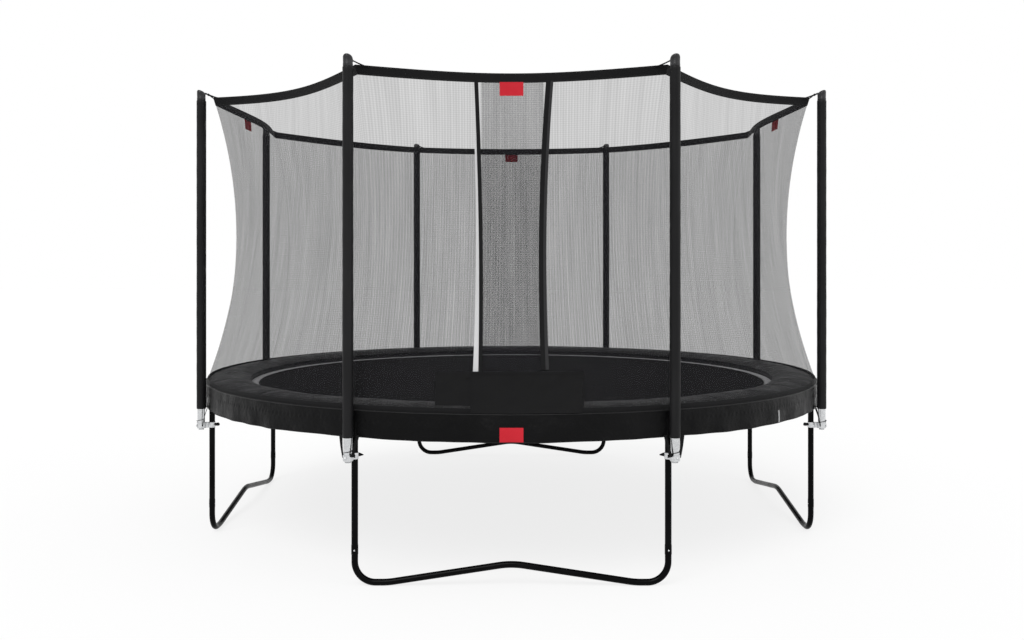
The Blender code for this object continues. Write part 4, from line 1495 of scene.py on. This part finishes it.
    def _apron(self, finishes: dict[str, bpy.types.Material], angle: float, half: float) -> None:
        """Makes the doubled cloth at the foot of the entrance, with its fasteners."""
        outer = self.patch_shell(half, 0.070, (0.52, 0.188), 0.946, 0.0085, 0.009)
        settle(outer.build("apron", angle), finishes["apron"])
        inner = self.patch_shell(half, -0.273, (0.166, 0.150), 0.960, 0.0070, 0.006)
        settle(inner.build("apron_inner", angle), finishes["apron"])
        hem = self.patch_shell(half, 0.070, (0.524, 0.012), 1.034, 0.0105, 0.009)
        settle(hem.build("apron_hem", angle), finishes["apron"])
        for number, z in enumerate((1.026, 0.900)):
            for side, x in (("right", 0.325), ("left", -0.205)):
                square = self.patch_shell(half, x, (0.026, 0.030), z, 0.0118)
                piece = square.build(f"fastener_{side}_{number + 1}", angle)
                settle(piece, finishes["webbing"])

    def build(self, finishes: dict[str, bpy.types.Material]) -> None:
        """Makes the net, its hems, the band and its stitches, the loops and the sewn patches."""
        band = self.band_shell().build("net_band")
        settle(band, finishes["webbing"], ["net_top_band"])
        stitches = self.band_stitches_shell().build("net_band_stitches")
        settle(stitches, finishes["thread"])
        for name, angle, half in panels():
            hem = self.hem_shell(half).build(f"net_hem_{name}", angle)
            settle(hem, finishes["webbing"])
        halves = (SPREAD, QUARTER / 2 - SPREAD)
        for index, (place, angle) in enumerate(uprights()):
            after, before = (halves[1], halves[0]) if index % 2 == 0 else (halves[0], halves[1])
            loop = self.loop_shell(after, before).build(f"net_loop_{place}", angle)
            settle(loop, finishes["webbing"])
        self._sheets(finishes)
        self._patches(finishes)

    def _patches(self, finishes: dict[str, bpy.types.Material]) -> None:
        """Makes the bare red patches that hang under the band on four sides."""
        places = {"front": 0.0, "right": -0.27, "back": 0.0, "left": 0.27}
        for index, (side, x) in enumerate(places.items()):
            size = (0.116, 0.067) if side == "front" else (0.100, 0.062)
            height = self.middle_top - self.band - size[1] / 2 + 0.003
            patch = self.patch_shell(SPREAD, x, size, height, 0.0045)
            settle(patch.build(f"net_patch_{side}", side_angle(index)), finishes["red"])


# ------------------------------------------------------------------ small cloth


@dataclass
class Trim:
    """Bare patches on the pad and its skirt, and the ties at each pole."""

    pad: SpringPad = field(default_factory=SpringPad)
    pole_radius: float = 1.940
    clamp: float = 0.625

    def on_skirt(self, turn: float, half: float, middle: float, size: tuple[float, float], z: float) -> Shell:
        """Rectangle that lies on the skirt, turn round from the stretch's middle."""
        shell = Shell()
        a = turn + np.linspace(-0.5, 0.5, 24)[:, None] * size[0] / self.pad.rim
        height = np.linspace(z - size[1] / 2, z + size[1] / 2, 12)[None]
        drop = (self.pad.rim_height - height) / (self.pad.rim_height - self.pad.hem)
        face = self.pad.skirt_face(middle, half, a, drop)
        out = polar(1.0, a, 0.0 * a)
        shell.slab(face + 0.0022 * out, face + 0.0006 * out, size)
        return shell

    def on_pad(self, length: float, share: tuple[float, float]) -> Shell:
        """Strip on the pad's top beside its rim, about +X."""
        shell = Shell()
        a = np.linspace(-0.5, 0.5, 60)[:, None] * length / self.pad.rim
        s = np.linspace(*share, 10)[None]
        r = self.pad.rim + (self.pad.inner - self.pad.rim) * s
        top = self.pad.height(s, a)
        shell.slab(polar(r, a, top + 0.0026), polar(r, a, top + 0.0008), (length, 0.045))
        return shell

    def tie_shell(self, sign: float) -> Shell:
        """Flat elastic from the skirt's foot down to the clamp, narrowing as it goes."""
        shell = Shell()
        t = np.linspace(0, 1, 40)
        start = np.array([self.pad.rim + 0.010, sign * 0.056, self.pad.hem + 0.010])
        end = np.array([self.pole_radius - 0.004, sign * 0.030, self.clamp - 0.004])
        path = start + (end - start) * t[:, None] + np.array([0.004, 0, 0]) * np.sin(math.pi * t)[:, None]
        width = 0.0125 - 0.0085 * t**0.7
        across = np.array([0.25, 1.0, 0])
        across = across / np.linalg.norm(across)
        sides = np.array([-1, -0.8, 0.8, 1])[None, :, None]
        face = path[:, None] + width[:, None, None] * sides * across
        out = np.array([0.0012, 0, 0])
        shell.slab(face + out, face - out, (0.12, 0.02))
        return shell

    def cord_shell(self, sign: float) -> Shell:
        """Twisted cord down to the clamp: two strands wound round each other, then a knot.

        Each strand is the middle line plus (cos, sin)(turn) * size, half a turn apart.
        """
        shell = Shell()
        t = np.linspace(0, 1, 120)
        start = np.array([self.pad.rim + 0.010, sign * 0.038, self.pad.hem + 0.010])
        end = np.array([self.pole_radius + 0.010, sign * 0.034, self.clamp + 0.020])
        line = start + (end - start) * t[:, None]
        for lag in (0, math.pi):
            turn = t * 9 * math.tau + lag
            wind = np.stack([np.sin(turn), np.cos(turn), 0 * turn], axis=-1) * 0.0042
            shell.tube(line + wind, 0.0044, 6, up=(1, 0, 0))
        knot = np.linspace(0, math.tau * 1.6, 46)
        ball = end + np.stack([
            0.0060 * np.sin(knot), 0.0085 * np.cos(knot), -0.002 - 0.006 * knot / math.tau,
        ], axis=-1)
        shell.tube(ball, 0.0046, 8, up=(0, 0, 1))
        reach = np.array([0.004, sign * 0.016, -0.008])
        tail = end + np.array([0.002, 0, -0.006]) + np.linspace(0, 1, 12)[:, None] * reach
        shell.tube(tail, 0.0024, 8, up=(1, 0, 0))
        return shell

    def wrap_shell(self) -> Shell:
        """Elastic wound slantwise round the pole just above its clamp."""
        shell = Shell()
        t = np.linspace(0, 1, 80)
        turn = -1.9 + t * 3.8
        r = 0.0226 + 0.0004 * np.sin(t * math.pi)
        path = np.stack([
            self.pole_radius + r * np.cos(turn), r * np.sin(turn), self.clamp + 0.019 + 0.016 * t,
        ], axis=-1)
        shell.tube(path, 0.0046, 10, squash=0.3, up=(0, 0, 1))
        return shell

    def build(self, finishes: dict[str, bpy.types.Material]) -> None:
        """Makes the patches, the tag, the strip on the pad and the ties."""
        front, half = side_angle(0), SPREAD - 0.0115
        patch = self.on_skirt(0.0, half, front, (0.110, 0.066), 0.756)
        settle(patch.build("skirt_patch", front), finishes["red"])
        corner = QUARTER / 2 - SPREAD - 0.0115
        turn = math.radians(46.6 - 45.0)
        tag = self.on_skirt(turn, corner, front + QUARTER / 2, (0.012, 0.062), 0.754)
        settle(tag.build("skirt_tag", front + QUARTER / 2), finishes["pale"])
        strip = self.on_pad(0.42, (0.045, 0.215))
        settle(strip.build("pad_strip", front - math.radians(33.8)), finishes["dim"])
        for index, (place, angle) in enumerate(uprights()):
            sign = -1.0 if index % 2 else 1.0
            for name, shell in (
                ("elastic_tie", self.tie_shell(sign)), ("twisted_cord", self.cord_shell(-sign)),
                ("elastic_wrap", self.wrap_shell()),
            ):
                settle(shell.build(f"{name}_{place}", angle), finishes["webbing"])


# ------------------------------------------------------------------ stage


def make_stage() -> None:
    """Sets a pale floor, a white world for what the camera sees, soft lamps and the camera."""
    scene = bpy.context.scene
    floor_graph = Graph("floor")
    floor_graph.surface(
        Base_Color=floor_graph.blend(
            floor_graph.noise(floor_graph.place(), 0.35), (0.145, 0.145, 0.145), (0.155, 0.155, 0.155),
        ),
        Roughness=1.0,
        Specular_IOR_Level=0.0,
        Emission_Color=(1.0, 1.0, 1.0, 1.0),
        Emission_Strength=0.815,
    )
    shell = Shell()
    grid = np.array([-60.0, 0.0, 60.0])
    x, y = np.meshgrid(grid, grid, indexing="ij")
    flat = np.stack([x, y, 0 * x - 0.0005], axis=-1)
    shell.slab(flat, flat - (0, 0, 0.01), (120.0, 120.0))
    floor = shell.build("floor")
    floor.data.materials.append(floor_graph.material)

    world = bpy.data.worlds.new("studio")
    world.use_nodes = True
    scene.world = world
    nodes, links = world.node_tree.nodes, world.node_tree.links
    back = next(node for node in nodes if node.type == "BACKGROUND")
    out = next(node for node in nodes if node.type == "OUTPUT_WORLD")
    back.inputs["Color"].default_value = (1, 1, 1, 1)
    back.inputs["Strength"].default_value = 0.80
    seen = nodes.new("ShaderNodeBackground")
    seen.inputs["Color"].default_value = (1, 1, 1, 1)
    seen.inputs["Strength"].default_value = 1.0
    rays = nodes.new("ShaderNodeLightPath")
    first, second = nodes.new("ShaderNodeMath"), nodes.new("ShaderNodeMath")
    for node, a, b in (
        (first, rays.outputs["Is Camera Ray"], rays.outputs["Is Glossy Ray"]),
        (second, first.outputs[0], rays.outputs["Is Transmission Ray"]),
    ):
        node.operation = "MAXIMUM"
        links.new(a, node.inputs[0])
        links.new(b, node.inputs[1])
    mix = nodes.new("ShaderNodeMixShader")
    links.new(second.outputs[0], mix.inputs[0])
    links.new(back.outputs[0], mix.inputs[1])
    links.new(seen.outputs[0], mix.inputs[2])
    links.new(mix.outputs[0], out.inputs["Surface"])

    for name, energy, angle, turn in (
        ("key", 1.7, 35.0, (math.radians(38), math.radians(-18), 0.0)),
        ("fill", 0.5, 60.0, (math.radians(62), 0.0, math.radians(70))),
    ):
        light = bpy.data.lights.new(name, "SUN")
        light.energy, light.angle = energy, math.radians(angle)
        lamp = bpy.data.objects.new(name, light)
        lamp.rotation_euler = turn
        scene.collection.objects.link(lamp)

    camera = bpy.data.cameras.new("camera")
    camera.sensor_width, camera.lens = 36.0, 36.04
    camera.shift_x, camera.shift_y = 0.0005, -0.0522
    seat = bpy.data.objects.new("camera", camera)
    seat.location, seat.rotation_euler = (0.0, -6.653, 1.534), (math.radians(90), 0, 0)
    scene.collection.objects.link(seat)
    scene.camera = seat
    scene.view_settings.view_transform = "Standard"


def finishes_of_object() -> dict[str, bpy.types.Material]:
    """Makes every material of the object once, by the name its parts know it by."""
    made = {
        "paint": Paint("black_paint"),
        "zinc": Zinc("zinc_plate"),
        "spring": Zinc("spring_zinc"),
        "foam": Foam("sleeve_foam"),
        "cap": Plastic("cap_plastic", (0.012, 0.012, 0.013)),
        "knob": Plastic("knob_plastic", (0.010, 0.010, 0.011), (0.34, 0.46)),
        "pad": CoatedCloth(
            "pad_cloth", (0.0050, 0.0050, 0.0054), (0.0095, 0.0095, 0.0100),
            (0.40, 0.56), 0.014, 0.10,
        ),
        "skirt": CoatedCloth(
            "skirt_cloth", (0.0014, 0.0014, 0.0016), (0.0030, 0.0030, 0.0033),
            (0.30, 0.48), 0.022, 0.09,
        ),
        "piping": CoatedCloth(
            "piping_cloth", (0.004, 0.004, 0.0043), (0.007, 0.007, 0.0074),
            (0.36, 0.48), 0.004, 0.2,
        ),
        "red": CoatedCloth("red_cloth", (0.430, 0.006, 0.016), (0.480, 0.012, 0.024), (0.50, 0.62), 0.004),
        "mat": Weave("mat_weave", (0.0009, 0.0009, 0.0010), (0.0030, 0.0030, 0.0033), 0.0016, 0.8, 0.0, 0.03),
        # this pale grey paints the highlight ring on the mat, and is also the skirt tag's own colour
        "pale": Weave("pale_ring_tape", (0.300, 0.300, 0.305), (0.460, 0.460, 0.465), 0.0018, 0.70),
        "tape": Weave("pale_tape", (0.450, 0.450, 0.455), (0.640, 0.640, 0.645), 0.0018, 0.70),
        "webbing": Weave("black_webbing", (0.0030, 0.0030, 0.0034), (0.0070, 0.0070, 0.0075), 0.0020, 0.66),
        # grey webbing of the pad strip; the same grey paints the shade on the right entrance tape
        "dim": Weave("grey_webbing", (0.020, 0.020, 0.021), (0.036, 0.036, 0.037), 0.0020, 0.66),
        "thread": Weave("thread", (0.020, 0.020, 0.021), (0.034, 0.034, 0.035), 0.0008, 0.60),
        "net": NetMesh("net_mesh"),
        "apron": Weave("apron_cloth", (0.0022, 0.0022, 0.0025), (0.0050, 0.0050, 0.0054), 0.0024, 0.6),
    }
    return {key: finish.material() for key, finish in made.items()}


def main() -> None:
    """Builds the trampoline on the frame, then its stage."""
    finishes = finishes_of_object()
    RingFrame().build(finishes["paint"])
    WLegs().build(finishes["paint"], finishes["zinc"])
    Pole().build(finishes)
    JumpingMat().build(finishes)
    SpringPad().build(finishes)
    SafetyNet().build(finishes)
    Trim().build(finishes)
    make_stage()


if __name__ == "__main__":
    main()
